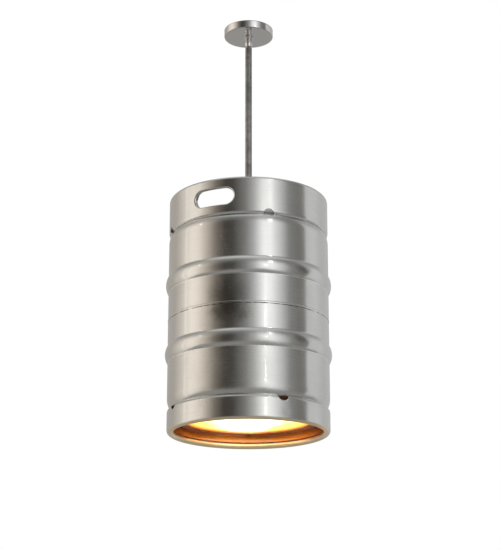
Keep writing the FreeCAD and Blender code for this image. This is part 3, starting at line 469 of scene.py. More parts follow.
class Effects:
    """The node groups that the finishes share, each built once."""

    made: dict[str, bpy.types.NodeTree] = {}

    @classmethod
    def use(cls, graph: Graph, name: str, **inputs: object) -> bpy.types.Node:
        """Place a group in a material.

        Args:
            graph: the material's graph.
            name: the group's name, which is the name of its builder here.
            **inputs: values or sockets, with _ for a space in an input's name.

        Returns:
            The group node.
        """
        if name not in cls.made:
            cls.made[name] = getattr(cls, name)()
        placed = graph.node("Group", node_tree=cls.made[name])
        for entry, value in inputs.items():
            graph.feed(placed.inputs[entry.replace("_", " ")], value)
        return placed

    @staticmethod
    def _open(name: str, inputs: dict[str, float], outputs: Sequence[str]) -> tuple:
        """Start a group: its graph, its input sockets by name and its output node."""
        tree = bpy.data.node_groups.new(name, "ShaderNodeTree")
        tree.interface.new_socket("Place", in_out="INPUT", socket_type="NodeSocketVector")
        for entry, value in inputs.items():
            socket = tree.interface.new_socket(entry, in_out="INPUT",
                                               socket_type="NodeSocketFloat")
            socket.default_value = value
        for entry in outputs:
            tree.interface.new_socket(entry, in_out="OUTPUT", socket_type="NodeSocketFloat")
        start = tree.nodes.new("NodeGroupInput")
        end = tree.nodes.new("NodeGroupOutput")
        return Graph(tree), {s.name: s for s in start.outputs if s.name}, end

    @classmethod
    def turned_grain(cls) -> bpy.types.NodeTree:
        """Fine lines that run round the axis, as polishing belts leave on turned work."""
        graph, given, end = cls._open("turned_grain", {"Lines": 900.0, "Drift": 1.5},
                                      ("Streak", "Fine"))
        x, y, z = graph.parts(given["Place"])
        reach = graph.math("MAXIMUM", graph.reach(x, y), 0.0001)
        along = graph.math("ADD", z, graph.math("MULTIPLY", reach, 0.83))
        for name, share in (("Streak", 0.22), ("Fine", 1.0)):
            lines = graph.math("MULTIPLY", given["Lines"], share)
            spot = graph.vector(
                graph.math("MULTIPLY", graph.math("DIVIDE", x, reach), given["Drift"]),
                graph.math("MULTIPLY", graph.math("DIVIDE", y, reach), given["Drift"]),
                graph.math("MULTIPLY", along, lines))
            graph.feed(end.inputs[name], graph.noise(spot, 1.0, 5.0, 0.65))
        return graph.tree

    @classmethod
    def handling(cls) -> bpy.types.NodeTree:
        """Smudges and clouding from hands, with runs of dull film."""
        graph, given, end = cls._open("handling", {"Spread": 9.0, "Amount": 1.0},
                                      ("Smudge", "Film"))
        x, y, z = graph.parts(given["Place"])
        for name, squeeze, low, high in (("Smudge", 1.0, 0.46, 0.72), ("Film", 0.35, 0.4, 0.75)):
            spot = graph.vector(x, y, graph.math("MULTIPLY", z, squeeze))
            scaled = graph.node("VectorMath", operation="SCALE")
            graph.feed(scaled.inputs[0], spot)
            graph.feed(scaled.inputs["Scale"], given["Spread"])
            mask = graph.span(graph.noise(scaled.outputs[0], 1.0, 7.0, 0.6), low, high)
            graph.feed(end.inputs[name], graph.math("MULTIPLY", mask, given["Amount"]))
        return graph.tree

    @classmethod
    def scuffs(cls) -> bpy.types.NodeTree:
        """Thin scratches in patches, mostly round the piece and some across it."""
        graph, given, end = cls._open("scuffs", {"Length": 14.0, "Density": 0.5},
                                      ("Line", "Depth"))
        x, y, z = graph.parts(given["Place"])
        turn = graph.math("ARCTAN2", y, x)
        total = None
        for tilt, fine in ((0.0, 700.0), (0.16, 420.0), (-0.11, 520.0), (1.4, 60.0)):
            across = graph.math("ADD", z, graph.math("MULTIPLY", turn, 0.2 * tilt))
            spot = graph.vector(graph.math("MULTIPLY", turn, given["Length"]),
                                graph.math("MULTIPLY", across, fine), tilt * 9)
            line = graph.span(graph.noise(spot, 1.0, 2.0, 0.5), 0.66, 0.74)
            total = line if total is None else graph.math("MAXIMUM", total, line)
        patch = graph.span(graph.noise(given["Place"], 16.0, 4.0, 0.6), 0.42, 0.62)
        marks = graph.math("MULTIPLY", graph.math("MULTIPLY", total, patch), given["Density"])
        graph.feed(end.inputs["Line"], marks)
        graph.feed(end.inputs["Depth"], graph.math("SUBTRACT", 1.0, marks))
        return graph.tree

    @classmethod
    def edge_wear_and_crease_shade(cls) -> bpy.types.NodeTree:
        """Mask of the raised edges, broken up as rubbing leaves it, and a mask of the creases for
        painted shade.
        """
        graph, given, end = cls._open("edge_wear_and_crease_shade", {"Break up": 60.0}, ("Edge", "Crease shade"))
        point = graph.node("NewGeometry").outputs["Pointiness"]
        scaled = graph.node("VectorMath", operation="SCALE")
        graph.feed(scaled.inputs[0], given["Place"])
        graph.feed(scaled.inputs["Scale"], given["Break up"])
        broken = graph.span(graph.noise(scaled.outputs[0], 1.0, 5.0, 0.6), 0.3, 0.7, 0.4, 1.0)
        graph.feed(end.inputs["Edge"],
                   graph.math("MULTIPLY", graph.span(point, 0.52, 0.62), broken))
        # Painted shade: the hollow creases, found by low pointiness, are masked for darkening.
        graph.feed(end.inputs["Crease shade"], graph.span(point, 0.49, 0.4))
        return graph.tree


@dataclass(frozen=True)
class Finish:
    """Common part of every finish: a named material with one shader."""

    name: str

    def make(self) -> bpy.types.Material:
        """Build the material, or return it if it is already built."""
        known = bpy.data.materials.get(self.name)
        if known:
            return known
        material = bpy.data.materials.new(self.name)
        material.use_nodes = True
        tree = material.node_tree
        tree.nodes.clear()
        graph = Graph(tree)
        shader = graph.node("BsdfPrincipled")
        output = graph.node("OutputMaterial")
        tree.links.new(shader.outputs[0], output.inputs["Surface"])
        self.paint(graph, shader)
        return material

    def paint(self, graph: Graph, shader: bpy.types.Node) -> None:
        """Join the finish's nodes to its shader."""
        raise NotImplementedError


@dataclass(frozen=True)
class Band:
    """A stretch of height with soft ends, for painted shade or the heated copper."""

    low: float
    high: float
    soft: float = 1 * MM

    def mask(self, graph: Graph, height: object) -> bpy.types.NodeSocket:
        """Mask that is 1 inside the stretch."""
        up = graph.span(height, self.low - self.soft, self.low + self.soft, smooth=True)
        down = graph.span(height, self.high + self.soft, self.high - self.soft, smooth=True)
        return graph.math("MULTIPLY", up, down)


@dataclass(frozen=True)
class Stain:
    """A cloudy patch of tarnish on the wall: bearing in degrees, height, half width and height."""

    bearing: float
    height: float
    width: float
    tall: float
    share: float = 0.7

    def mask(self, graph: Graph, x: object, y: object, z: object,
             cloud: object) -> bpy.types.NodeSocket:
        """Mask that is strongest at the patch's middle."""
        turn = math.radians(self.bearing)
        across = graph.math("SUBTRACT", graph.math("MULTIPLY", x, math.cos(turn)),
                            graph.math("MULTIPLY", y, -math.sin(turn)))
        ahead = graph.math("SUBTRACT", graph.math("MULTIPLY", x, math.sin(turn)),
                           graph.math("MULTIPLY", y, math.cos(turn)))
        up = graph.math("DIVIDE", graph.math("SUBTRACT", z, self.height), self.tall)
        gap = graph.math("ADD", graph.reach(graph.math("DIVIDE", across, self.width), up), cloud)
        patch = graph.span(gap, 1.15, 0.2, smooth=True)
        front = graph.math("GREATER_THAN", ahead, 0.0)
        return graph.math("MULTIPLY", graph.math("MULTIPLY", patch, front), self.share)


@dataclass(frozen=True)
class TurnedMetal(Finish):
    """Metal with belt lines round it, hand marks, scuffs, pale worn edges, painted highlight lines
    and painted shade in its creases.
    """

    colour: Colour = (0.635, 0.64, 0.62, 1.0)
    dull: Colour = (0.42, 0.415, 0.39, 1.0)
    rough: float = 0.24
    rough_range: float = 0.12
    lines: float = 1400.0
    grain_depth: float = 0.004 * MM
    marks: float = 1.0
    scuffing: float = 0.5
    stretch: float = 0.0
    lacquer: float = 0.0
    stains: Sequence[Stain] = ()
    # Heights of thin painted highlight lines round the piece.
    painted_highlight_lines: Sequence[float] = ()
    dark_lines: Sequence[float] = ()
    line_half: float = 0.7 * MM
    # Tarnish colour of the stain patches, also the colour of the painted shade in the creases.
    tarnish_and_crease_shade: Colour = (0.16, 0.10, 0.055, 1.0)

    def paint(self, graph: Graph, shader: bpy.types.Node) -> None:
        """Lay grain, marks, scuffs, stains, painted highlight lines, dark lines and painted shade
        in the creases over the metal.
        """
        spot = graph.place()
        grain = Effects.use(graph, "turned_grain", Place=spot, Lines=self.lines)
        marks = Effects.use(graph, "handling", Place=spot, Amount=self.marks)
        scuffs = Effects.use(graph, "scuffs", Place=spot, Density=self.scuffing)
        edge = Effects.use(graph, "edge_wear_and_crease_shade", Place=spot)
        tone = graph.span(grain.outputs["Streak"], 0.3, 0.7, 0.0, 0.16)
        film = graph.math("MULTIPLY", marks.outputs["Film"], 0.35)
        colour = graph.blend(graph.math("ADD", tone, film, clamp=True), self.colour, self.dull)
        # Painted shade: the creases are darkened half way to the tarnish colour.
        colour = graph.blend(graph.math("MULTIPLY", edge.outputs["Crease shade"], 0.5), colour,
                             self.tarnish_and_crease_shade)
        x, y, z = graph.parts(spot)
        if self.stains:
            cloud = graph.span(graph.noise(spot, 24.0, 6.0, 0.65), 0.2, 0.8, -0.45, 0.45)
            for patch in self.stains:
                colour = graph.blend(patch.mask(graph, x, y, z, cloud), colour, self.tarnish_and_crease_shade)
        # Painted highlight: thin pale lines stand in for the glints along the rings' feet and the
        # grooves' edges.
        highlight_mask = self._lines(graph, spot, z, self.painted_highlight_lines, 0.2)
        dark = self._lines(graph, spot, z, self.dark_lines, 0.55)
        colour = graph.blend(highlight_mask, colour, grey(0.95))
        colour = graph.blend(dark, colour, grey(0.06, 0.1))
        colour = graph.blend(graph.math("MULTIPLY", scuffs.outputs["Line"], 0.45), colour,
                             grey(0.82))
        colour = graph.blend(graph.math("MULTIPLY", edge.outputs["Edge"], 0.5), colour,
                             grey(0.86))
        graph.feed(shader.inputs["Base Color"], colour)
        shader.inputs["Metallic"].default_value = 1.0
        streak = graph.span(grain.outputs["Fine"], 0.3, 0.7, self.rough,
                            self.rough + self.rough_range * 0.5)
        worn = graph.math("MULTIPLY", marks.outputs["Smudge"], self.rough_range)
        rough = graph.math("ADD", graph.math("ADD", streak, worn),
                           graph.math("ADD", graph.math("MULTIPLY", highlight_mask, 0.35),
                                      graph.math("MULTIPLY", scuffs.outputs["Line"], 0.12)),
                           clamp=True)
        graph.feed(shader.inputs["Roughness"], rough)
        if self.lacquer:
            shader.inputs["Coat Weight"].default_value = self.lacquer
            shader.inputs["Coat Roughness"].default_value = 0.03
            shader.inputs["Coat IOR"].default_value = 1.8
        if self.stretch:
            shader.inputs["Anisotropic"].default_value = self.stretch
            shader.inputs["Anisotropic Rotation"].default_value = 0.25
            tangent = graph.node("Tangent", direction_type="RADIAL", axis="Z")
            graph.feed(shader.inputs["Tangent"], tangent.outputs[0])
        height = graph.math("ADD", grain.outputs["Fine"],
                            graph.math("MULTIPLY", scuffs.outputs["Depth"], 2.0))
        bump = graph.node("Bump")
        bump.inputs["Strength"].default_value = 1.0
        bump.inputs["Distance"].default_value = self.grain_depth
        graph.feed(bump.inputs["Height"], height)
        graph.feed(shader.inputs["Normal"], bump.outputs[0])

    def _lines(self, graph: Graph, spot: object, z: object, heights: Sequence[float],
               broken: float) -> object:
        """Mask of thin lines round the piece.

        Args:
            graph: the material's graph.
            spot: place on the surface.
            z: height on the surface.
            heights: the lines' heights.
            broken: how much of a line is missing, from 0 to 1.

        Returns:
            The mask, or 0 where there are no lines.
        """
        total = 0.0
        for height in heights:
            gap = graph.math("ABSOLUTE", graph.math("SUBTRACT", z, height))
            line = graph.span(gap, self.line_half, self.line_half * 0.4)
            total = graph.math("MAXIMUM", total, line)
        if not heights:
            return total
        gaps = graph.span(graph.noise(spot, 70.0, 4.0, 0.6), 0.3 * broken + 0.2,
                          0.3 * broken + 0.35)
        return graph.math("MULTIPLY", total, gaps)


@dataclass(frozen=True)
class KegSteel(TurnedMetal):
    """Keg sheet, with what the lamp's heat does to its foot, painted shade on its hidden parts and
    a painted glow on the foot's bead.
    """

    copper: Colour = (1.0, 0.31, 0.01, 1.0)
    inner_radius: float = 0.0
    heated: Optional[Band] = None
    # Colour of the painted glow: the disc's light mirrored in the foot's inner bead.
    painted_bead_glow: Colour = (0.95, 0.74, 0.42, 1.0)
    lit_below: Optional[float] = None
    # Colour of the painted shade on the shell behind the chimes.
    painted_shade: Colour = (0.10, 0.095, 0.085, 1.0)
    painted_shade_bands: Sequence[Band] = ()

    def paint(self, graph: Graph, shader: bpy.types.Node) -> None:
        """Add the heated inside, the painted shade by the grooves and the painted glow on the bead
        to the turned metal.
        """
        super().paint(graph, shader)
        spot = graph.place()
        x, y, z = graph.parts(spot)
        colour = shader.inputs["Base Color"].links[0].from_socket
        cloud = graph.span(graph.noise(spot, 45.0, 5.0, 0.6), 0.25, 0.65, 0.6, 1.0)
        # Painted shade: the shell is darkened where it hides behind the chimes' notches.
        for band in self.painted_shade_bands:
            share = graph.math("MULTIPLY", band.mask(graph, z), cloud)
            colour = graph.blend(share, colour, self.painted_shade)
        if self.heated:
            inside = graph.span(graph.reach(x, y), self.inner_radius + 0.5 * MM,
                                self.inner_radius - 0.5 * MM)
            share = graph.math("MULTIPLY", inside, self.heated.mask(graph, z))
            even = graph.span(cloud, 0.6, 1.0, 0.86, 1.0)
            share = graph.math("MULTIPLY", share, even)
            colour = graph.blend(share, colour, self.copper)
            # Painted glow: the inner bead below lit_below is tinted as if it mirrored the disc's
            # light.
            low = graph.span(z, self.lit_below + 2 * MM, self.lit_below - 2 * MM, smooth=True)
            bead = graph.math("MULTIPLY", graph.math("MULTIPLY", inside, low), 0.8)
            colour = graph.blend(bead, colour, self.painted_bead_glow)
            rough = shader.inputs["Roughness"].links[0].from_socket
            dull = graph.math("MULTIPLY", graph.math("MAXIMUM", bead, share), 0.24)
            graph.feed(shader.inputs["Roughness"], graph.math("ADD", rough, dull, clamp=True))
        graph.feed(shader.inputs["Base Color"], colour)


@dataclass(frozen=True)
class Coating(Finish):
    """Paint, rubber, plastic or glaze: an even colour with mottle, specks and a skin texture."""

    colour: Colour = (0.2, 0.2, 0.2, 1.0)
    second: Colour = (0.15, 0.15, 0.15, 1.0)
    rough: float = 0.5
    skin_scale: float = 400.0
    skin_depth: float = 0.03 * MM
    coat: float = 0.0
    glow: float = 0.0

    def paint(self, graph: Graph, shader: bpy.types.Node) -> None:
        """Mottle the colour and texture the skin."""
        spot = graph.place()
        marks = Effects.use(graph, "handling", Place=spot, Spread=25.0)
        edge = Effects.use(graph, "edge_wear_and_crease_shade", Place=spot, Break_up=200.0)
        share = graph.math("ADD", graph.math("MULTIPLY", marks.outputs["Smudge"], 0.7),
                           graph.math("MULTIPLY", edge.outputs["Edge"], 0.4), clamp=True)
        graph.feed(shader.inputs["Base Color"], graph.blend(share, self.colour, self.second))
        graph.feed(shader.inputs["Roughness"],
                   graph.span(graph.noise(spot, 60.0, 4.0), 0.3, 0.7, self.rough - 0.06,
                              self.rough + 0.08))
        shader.inputs["Coat Weight"].default_value = self.coat
        shader.inputs["Coat Roughness"].default_value = 0.12
        if self.glow:
            shader.inputs["Emission Color"].default_value = grey(1.0)
            shader.inputs["Emission Strength"].default_value = self.glow
        bump = graph.node("Bump")
        bump.inputs["Distance"].default_value = self.skin_depth
        graph.feed(bump.inputs["Height"], graph.noise(spot, self.skin_scale, 3.0))
        graph.feed(shader.inputs["Normal"], bump.outputs[0])


@dataclass(frozen=True)
class LitAcrylic(Finish):
    """Frosted disc lit from above: white under each bulb, yellow between them and orange out."""

    hot: Colour = (1.0, 0.86, 0.56, 1.0)
    warm: Colour = (0.75, 0.40, 0.09, 1.0)
    border: Colour = (0.46, 0.17, 0.02, 1.0)
    bulbs: int = 3
    bulb_circle: float = 0.095
    hot_radius: float = 0.028
    fade: float = 0.055
    rim: float = 0.155
    strength: float = 3.7

    def paint(self, graph: Graph, shader: bpy.types.Node) -> None:
        """Glow by distance from the bulbs, with the faint unevenness of frosting."""
        spot = graph.place()
        x, y, _ = graph.parts(spot)
        nearest = graph.math("SUBTRACT", graph.reach(x, y), 0.03)
        for index in range(self.bulbs):
            turn = 2 * math.pi * index / self.bulbs
            gap = graph.reach(
                graph.math("SUBTRACT", x, self.bulb_circle * math.cos(turn)),
                graph.math("SUBTRACT", y, self.bulb_circle * math.sin(turn)))
            nearest = graph.math("MINIMUM", nearest, gap)
        cloud = graph.span(graph.noise(spot, 18.0, 5.0), 0.3, 0.7, -0.01, 0.01)
        nearest = graph.math("ADD", nearest, cloud)
        cool = graph.span(nearest, self.hot_radius, self.hot_radius + self.fade, smooth=True)
        out = graph.span(graph.reach(x, y), self.rim - 0.035, self.rim, smooth=True)
        out = graph.math("MULTIPLY", out, graph.span(nearest, self.hot_radius * 0.7,
                                                     self.hot_radius + self.fade))
        colour = graph.blend(cool, self.hot, self.warm)
        colour = graph.blend(out, colour, self.border)
        graph.feed(shader.inputs["Base Color"], colour)
        graph.feed(shader.inputs["Emission Color"], colour)
        shader.inputs["Emission Strength"].default_value = self.strength
        graph.feed(shader.inputs["Roughness"],
                   graph.span(graph.noise(spot, 300.0, 3.0), 0.3, 0.7, 0.45, 0.6))
        bump = graph.node("Bump")
        bump.inputs["Distance"].default_value = 0.02 * MM
        graph.feed(bump.inputs["Height"], graph.noise(spot, 900.0, 2.0))
        graph.feed(shader.inputs["Normal"], bump.outputs[0])


@dataclass(frozen=True)
class BulbGlass(Finish):
    """Opal glass lit from within."""

    colour: Colour = (1.0, 0.9, 0.74, 1.0)
    strength: float = 2.0

    def paint(self, graph: Graph, shader: bpy.types.Node) -> None:
        """Clouded white glass with a glow."""
        spot = graph.place()
        cloud = graph.span(graph.noise(spot, 40.0, 5.0), 0.3, 0.7)
        tint = graph.blend(graph.math("MULTIPLY", cloud, 0.3), self.colour, grey(0.8, 0.15))
        graph.feed(shader.inputs["Base Color"], tint)
        graph.feed(shader.inputs["Emission Color"], tint)
        shader.inputs["Emission Strength"].default_value = self.strength
        graph.feed(shader.inputs["Roughness"], graph.span(cloud, 0.0, 1.0, 0.1, 0.2))


# Ceiling fitting --------------------------------------------------------------------------


@dataclass
class CeilingFitting:
    """Canopy, collar, swivel and the hidden bar behind them."""

    canopy_radius: float = 63.5 * MM
    canopy_wall: float = 1.2 * MM
    canopy_corner: float = 2.2 * MM
    hole_clearance: float = 0.3 * MM
    thread_radius: float = 11.0 * MM
    thread_clearance: float = 0.05 * MM
    collar_edge: float = 0.7 * MM
    nickel: Finish = TurnedMetal("polished_nickel", colour=grey(0.66, 0.015), dull=grey(0.5),
                                 rough=0.07, rough_range=0.05, lines=2600.0,
                                 grain_depth=0.002 * MM, marks=0.5, scuffing=0.15)
    ferrule: Finish = TurnedMetal("satin_nickel", colour=grey(0.80, 0.015), dull=grey(0.6),
                                  rough=0.30, rough_range=0.08, lines=2600.0,
                                  grain_depth=0.002 * MM, marks=0.4, scuffing=0.1)
    zinc: Finish = TurnedMetal("zinc_plate", colour=(0.60, 0.60, 0.56, 1.0),
                               dull=(0.42, 0.42, 0.40, 1.0), rough=0.35, rough_range=0.15,
                               lines=500.0, marks=1.0, scuffing=0.3)
    green: Finish = Coating("green_screw_paint", colour=(0.03, 0.22, 0.07, 1.0),
                            second=(0.10, 0.30, 0.12, 1.0), rough=0.4)
    nylon: Finish = Coating("nylon", colour=(0.72, 0.70, 0.64, 1.0),
                            second=(0.60, 0.58, 0.52, 1.0), rough=0.42)
    jacket: Finish = Coating("lead_jacket", colour=(0.03, 0.03, 0.032, 1.0),
                             second=(0.06, 0.06, 0.06, 1.0), rough=0.5)

    def build(self) -> None:
        """Make the canopy and collar and dress everything behind them."""
        self._canopy()
        self._collar()
        dress(self.ferrule, "swivel_housing", "swivel_cap", "swivel_ball")
        dress(self.zinc, "crossbar", "threaded_nipple", "nipple_lock_nuts")
        dress(self.green, "ground_screw")
        dress(self.nylon, "seat_ring_lower", "seat_ring_upper")
        dress(self.jacket, "supply_lead", "lamp_lead")

    def _canopy(self) -> None:
        """Polished pressing with a small round at its lower corner."""
        face = base_of("canopy")
        top = top_of("canopy")
        outline = Outline((self.thread_radius + self.hole_clearance, face), 3 * MM)
        outline.line(self.canopy_radius - self.canopy_corner, face)
        outline.arc(self.canopy_radius, face + self.canopy_corner, self.canopy_corner,
                    Turn.LEFT, 8)
        outline.line(self.canopy_radius, top)
        piece = TurnedSheet(outline, self.canopy_wall, 240, wave=0.02 * MM, seed=3.0,
                            edge_round=0.2 * MM).make("canopy_pressing")
        keep(piece, "canopy", "canopy", self.nickel)

    def _collar(self) -> None:
        """Ring nut with softened edges."""
        low, high = base_of("canopy_collar"), top_of("canopy_collar")
        reach = radius_of("canopy_collar")
        bore = self.thread_radius + self.thread_clearance
        piece = lathe("collar_ring", [(bore, low), (reach, low), (reach, high), (bore, high)],
                      128, self.collar_edge)
        keep(piece, "canopy_collar", "collar", self.ferrule)


@dataclass
class DownRod:
    """Pipe that carries the keg, with its nuts and washers."""

    satin: Finish = TurnedMetal("satin_rod_metal", colour=grey(0.09, 0.01), dull=grey(0.07),
                                rough=0.58, rough_range=0.08, lines=900.0,
                                grain_depth=0.002 * MM, marks=0.8, scuffing=0.25)
    zinc: Finish = CeilingFitting.zinc

    def build(self) -> None:
        """Dress the rod and what fastens it."""
        dress(self.satin, "down_rod")
        dress(self.zinc, "rod_washers", "rod_lock_nuts", "cluster_lock_nuts", "stem_coupling",
              "inner_stem")


# Keg --------------------------------------------------------------------------------------


@dataclass
class Keg:
    """The four sheets of the keg, its weld and its neck."""

    radius: float = 199.0 * MM
    shell_wall: float = 1.6 * MM
    chime_wall: float = 2.0 * MM
    top_chime_height: float = 94.5 * MM
    bottom_chime_height: float = 60.0 * MM
    curl_height: float = 10.0 * MM
    top_bead: float = 7.0 * MM
    bottom_bead: float = 8.5 * MM
    bead_wrap: float = 70.0
    knuckle: float = 45.0 * MM
    top_knuckle_rise: float = 22.0 * MM
    bottom_knuckle_rise: float = 26.0 * MM
    dome: float = 380.09 * MM
    opening: float = 165.0 * MM
    boss_radius: float = 36.0 * MM
    boss_land: float = 4.0 * MM
    gap: float = 0.02 * MM
    girth_gap: float = 2.0 * MM
    ring_height: float = 6.5 * MM
    ring_crown: float = 37.0 * MM
    crisp_foot: float = 3.5 * MM
    soft_foot: float = 10.5 * MM
    upper_ring: float = 92.0 * MM
    lower_ring: float = 85.0 * MM
    hand_width: float = 104.0 * MM
    hand_height: float = 43.0 * MM
    hand_drop: float = 47.5 * MM
    lip_round: float = 3.0 * MM
    lip_reach: float = 9.0 * MM
    top_notch: float = 13.0 * MM
    top_notch_angle: float = 40.0
    bottom_notch: float = 14.0 * MM
    bottom_notch_angle: float = 50.0
    foot_dents: Sequence[tuple[float, float, float, float]] = (
        (-101.0, 0.022, 0.013, 0.0003), (-78.0, 0.030, 0.010, 0.00025),
        (-38.0, 0.020, 0.012, 0.0003), (20.0, 0.028, 0.014, 0.0003),
        (95.0, 0.020, 0.012, 0.0003), (162.0, 0.026, 0.013, 0.0003),
        (-140.0, 0.024, 0.010, 0.00025))
    segments: int = 480

    def __post_init__(self) -> None:
        """Work out the heights that follow from the frame."""
        self.top = top_of("top_chime")
        self.base = base_of("bottom_chime")
        self.top_groove = self.top - self.top_chime_height
        self.bottom_groove = self.base + self.bottom_chime_height
        self.girth = (self.top_groove + self.bottom_groove) / 2
        self.top_knuckle = self.top_groove - self.top_knuckle_rise
        self.bottom_knuckle = self.bottom_groove + self.bottom_knuckle_rise
        arm = self.dome - self.knuckle
        reach = self.radius - self.knuckle
        self.dome_offset = math.sqrt(arm ** 2 - reach ** 2)
        self.tangent_radius = self.dome * reach / arm
        self.tangent_rise = self.dome * self.dome_offset / arm - self.dome_offset
        feet = [peak - math.sqrt((self.ring_crown + self.crisp_foot) ** 2
                                 - (self.ring_crown + self.crisp_foot - self.ring_height) ** 2)
                for peak in (self.girth + self.upper_ring, self.girth - self.lower_ring)]
        self.steel = KegSteel(
            "keg_steel", rough=0.17, rough_range=0.13, stretch=0.75, lacquer=0.5, marks=0.9,
            scuffing=0.38,
            # Tarnish colour, also used for the painted shade in the creases.
            tarnish_and_crease_shade=(0.12, 0.105, 0.09, 1.0),
            stains=(Stain(9, self.girth + 0.022, 0.06, 0.045, 0.5),
                    Stain(12, self.girth - 0.022, 0.055, 0.03, 0.6),
                    Stain(66, self.girth + self.upper_ring, 0.03, 0.012, 0.5),
                    Stain(64, self.girth - self.lower_ring + 0.004, 0.03, 0.012, 0.5)),
            # Painted highlight lines at the rings' crisp feet and along the grooves' edges.
            painted_highlight_lines=(*feet, self.top_groove + 2 * MM, self.bottom_groove - 1.5 * MM),
            dark_lines=(self.girth - 2.5 * MM, self.girth - 3.4 * MM),
            inner_radius=self.radius - self.chime_wall / 2)
        self.shell_steel = replace(
            self.steel, name="keg_shell_steel",
            # Painted shade on the shell just above the top groove and below the bottom groove,
            # behind the chimes.
            painted_shade_bands=(Band(self.top_groove + 1.5 * MM, self.top_groove + 12 * MM, 3 * MM),
                   Band(self.base, self.bottom_groove - 0.5 * MM)))
        self.foot_steel = replace(
            self.steel, name="keg_foot_steel",
            heated=Band(self.base + 2 * self.bottom_bead - 3 * MM,
                        self.bottom_groove - 24 * MM, 3 * MM),
            # Painted glow of the disc's light on the foot's inner bead below this height.
            lit_below=self.base + 2 * self.bottom_bead - 5 * MM)

    def build(self) -> None:
        """Make every sheet and dress the weld and neck."""
        self._upper_shell()
        self._lower_shell()
        self._top_chime()
        self._bottom_chime()
        dress(self.steel, "girth_weld", "neck_boss", "neck_plug")
        dress(Coating("gasket_rubber", colour=(0.02, 0.02, 0.02, 1.0),
                      second=(0.05, 0.05, 0.05, 1.0), rough=0.6), "neck_gasket")

    def _ring(self, outline: Outline, peak: float) -> None:
        """Add a rolling ring to an outline that comes down the wall."""
        for foot, sign in ((self.soft_foot, 1), (self.crisp_foot, -1)):
            arms = self.ring_crown + foot
            reach = math.sqrt(arms ** 2 - (arms - self.ring_height) ** 2)
            tangent = (self.radius + self.ring_height - self.ring_crown
                       + self.ring_crown * (arms - self.ring_height) / arms,
                       peak + sign * self.ring_crown * reach / arms)
            if sign > 0:
                outline.line(self.radius, peak + reach)
                outline.arc(*tangent, foot, Turn.LEFT, 8)
            else:
                outline.arc(*tangent, self.ring_crown, Turn.RIGHT, 22)
                outline.arc(self.radius, peak - reach, foot, Turn.LEFT, 6)

    def _upper_shell(self) -> None:
        """Domed top, knuckle, wall and the upper rolling ring."""
        land = self.boss_radius + self.boss_land
        land_height = (self.top_knuckle - self.dome_offset
                       + math.sqrt(self.dome ** 2 - land ** 2))
        outline = Outline((self.boss_radius, land_height), 4 * MM)
        outline.line(land, land_height)
        outline.arc(self.tangent_radius, self.top_knuckle + self.tangent_rise, self.dome,
                    Turn.RIGHT, 30)
        outline.arc(self.radius, self.top_knuckle, self.knuckle, Turn.RIGHT, 18)
        self._ring(outline, self.girth + self.upper_ring)
        outline.line(self.radius, self.girth + self.girth_gap / 2)
        sheet = TurnedSheet(outline, self.shell_wall, self.segments, wave=0.16 * MM, seed=1.0)
        keep(sheet.make("keg_upper_half"), "upper_shell", "keg",
             self.shell_steel)

    def _lower_shell(self) -> None:
        """Wall, lower rolling ring, knuckle and the rim of the cut-out bottom."""
        outline = Outline((self.radius, self.girth - self.girth_gap / 2), 4 * MM)
        self._ring(outline, self.girth - self.lower_ring)
        outline.line(self.radius, self.bottom_knuckle)
        outline.arc(self.tangent_radius, self.bottom_knuckle - self.tangent_rise, self.knuckle,
                    Turn.RIGHT, 18)
        rim = self.dome_offset - math.sqrt(self.dome ** 2 - self.opening ** 2)
        outline.arc(self.opening, self.bottom_knuckle + rim, self.dome, Turn.RIGHT, 8)
        sheet = TurnedSheet(outline, self.shell_wall, self.segments, wave=0.16 * MM, seed=2.0)
        keep(sheet.make("keg_lower_half"), "lower_shell", "keg",
             self.shell_steel)

    def _chime_outline(self, groove: float, rise: float, edge: float, bead: float,
                       way: int) -> Outline:
        """Outer line of a chime from its groove to its rolled bead.

        Args:
            groove: height of its edge at the shell.
            rise: how far the shell's knuckle runs past that edge.
            edge: height of the chime's far end.
            bead: radius of the bead.
            way: 1 for the top chime and -1 for the bottom one.

        Returns:
            The outline.
        """
        turn = Turn(way)
        width = self.knuckle - math.sqrt(self.knuckle ** 2 - rise ** 2) - self.gap
        curl = (width ** 2 + self.curl_height ** 2) / (2 * width)
        centre = edge - way * bead
        wrap = math.radians(self.bead_wrap)
        outline = Outline((self.radius - width, groove), 2.5 * MM)
        outline.arc(self.radius, groove + way * self.curl_height, curl, turn, 9)
        outline.line(self.radius, centre)
        outline.arc(self.radius - bead, edge, bead, turn, 8)
        outline.arc(self.radius - 2 * bead, centre, bead, turn, 8)
        outline.arc(self.radius - bead - bead * math.cos(wrap),
                    centre - way * bead * math.sin(wrap), bead, turn, 6)
        return outline

    def _notches(self, angle: float, height: float, radius: float) -> list[Hole]:
        """Four round notches a quarter turn apart."""
        return [Hole(math.radians(angle - 90 + 90 * k), height, radius) for k in range(4)]

    def _top_chime(self) -> None:
        """Collar with two lipped hand holes and four drain notches."""
        outline = self._chime_outline(self.top_groove, self.top_knuckle_rise, self.top,
                                      self.top_bead, 1)
        radius = self.hand_height / 2 + self.lip_round
        reach = (self.hand_width - self.hand_height) / 2
        hands = [Hole(math.radians(side), self.top - self.hand_drop, radius, reach)
                 for side in (-90, 90)]
        sheet = TurnedSheet(
            outline, self.chime_wall, self.segments * 3 // 2,
            [*hands, *self._notches(self.top_notch_angle, self.top_groove, self.top_notch)],
            self.lip_round, self.lip_reach - self.lip_round, 0.14 * MM, 4.0)
        keep(sheet.make("top_collar_sheet"), "top_chime", "keg", self.steel)

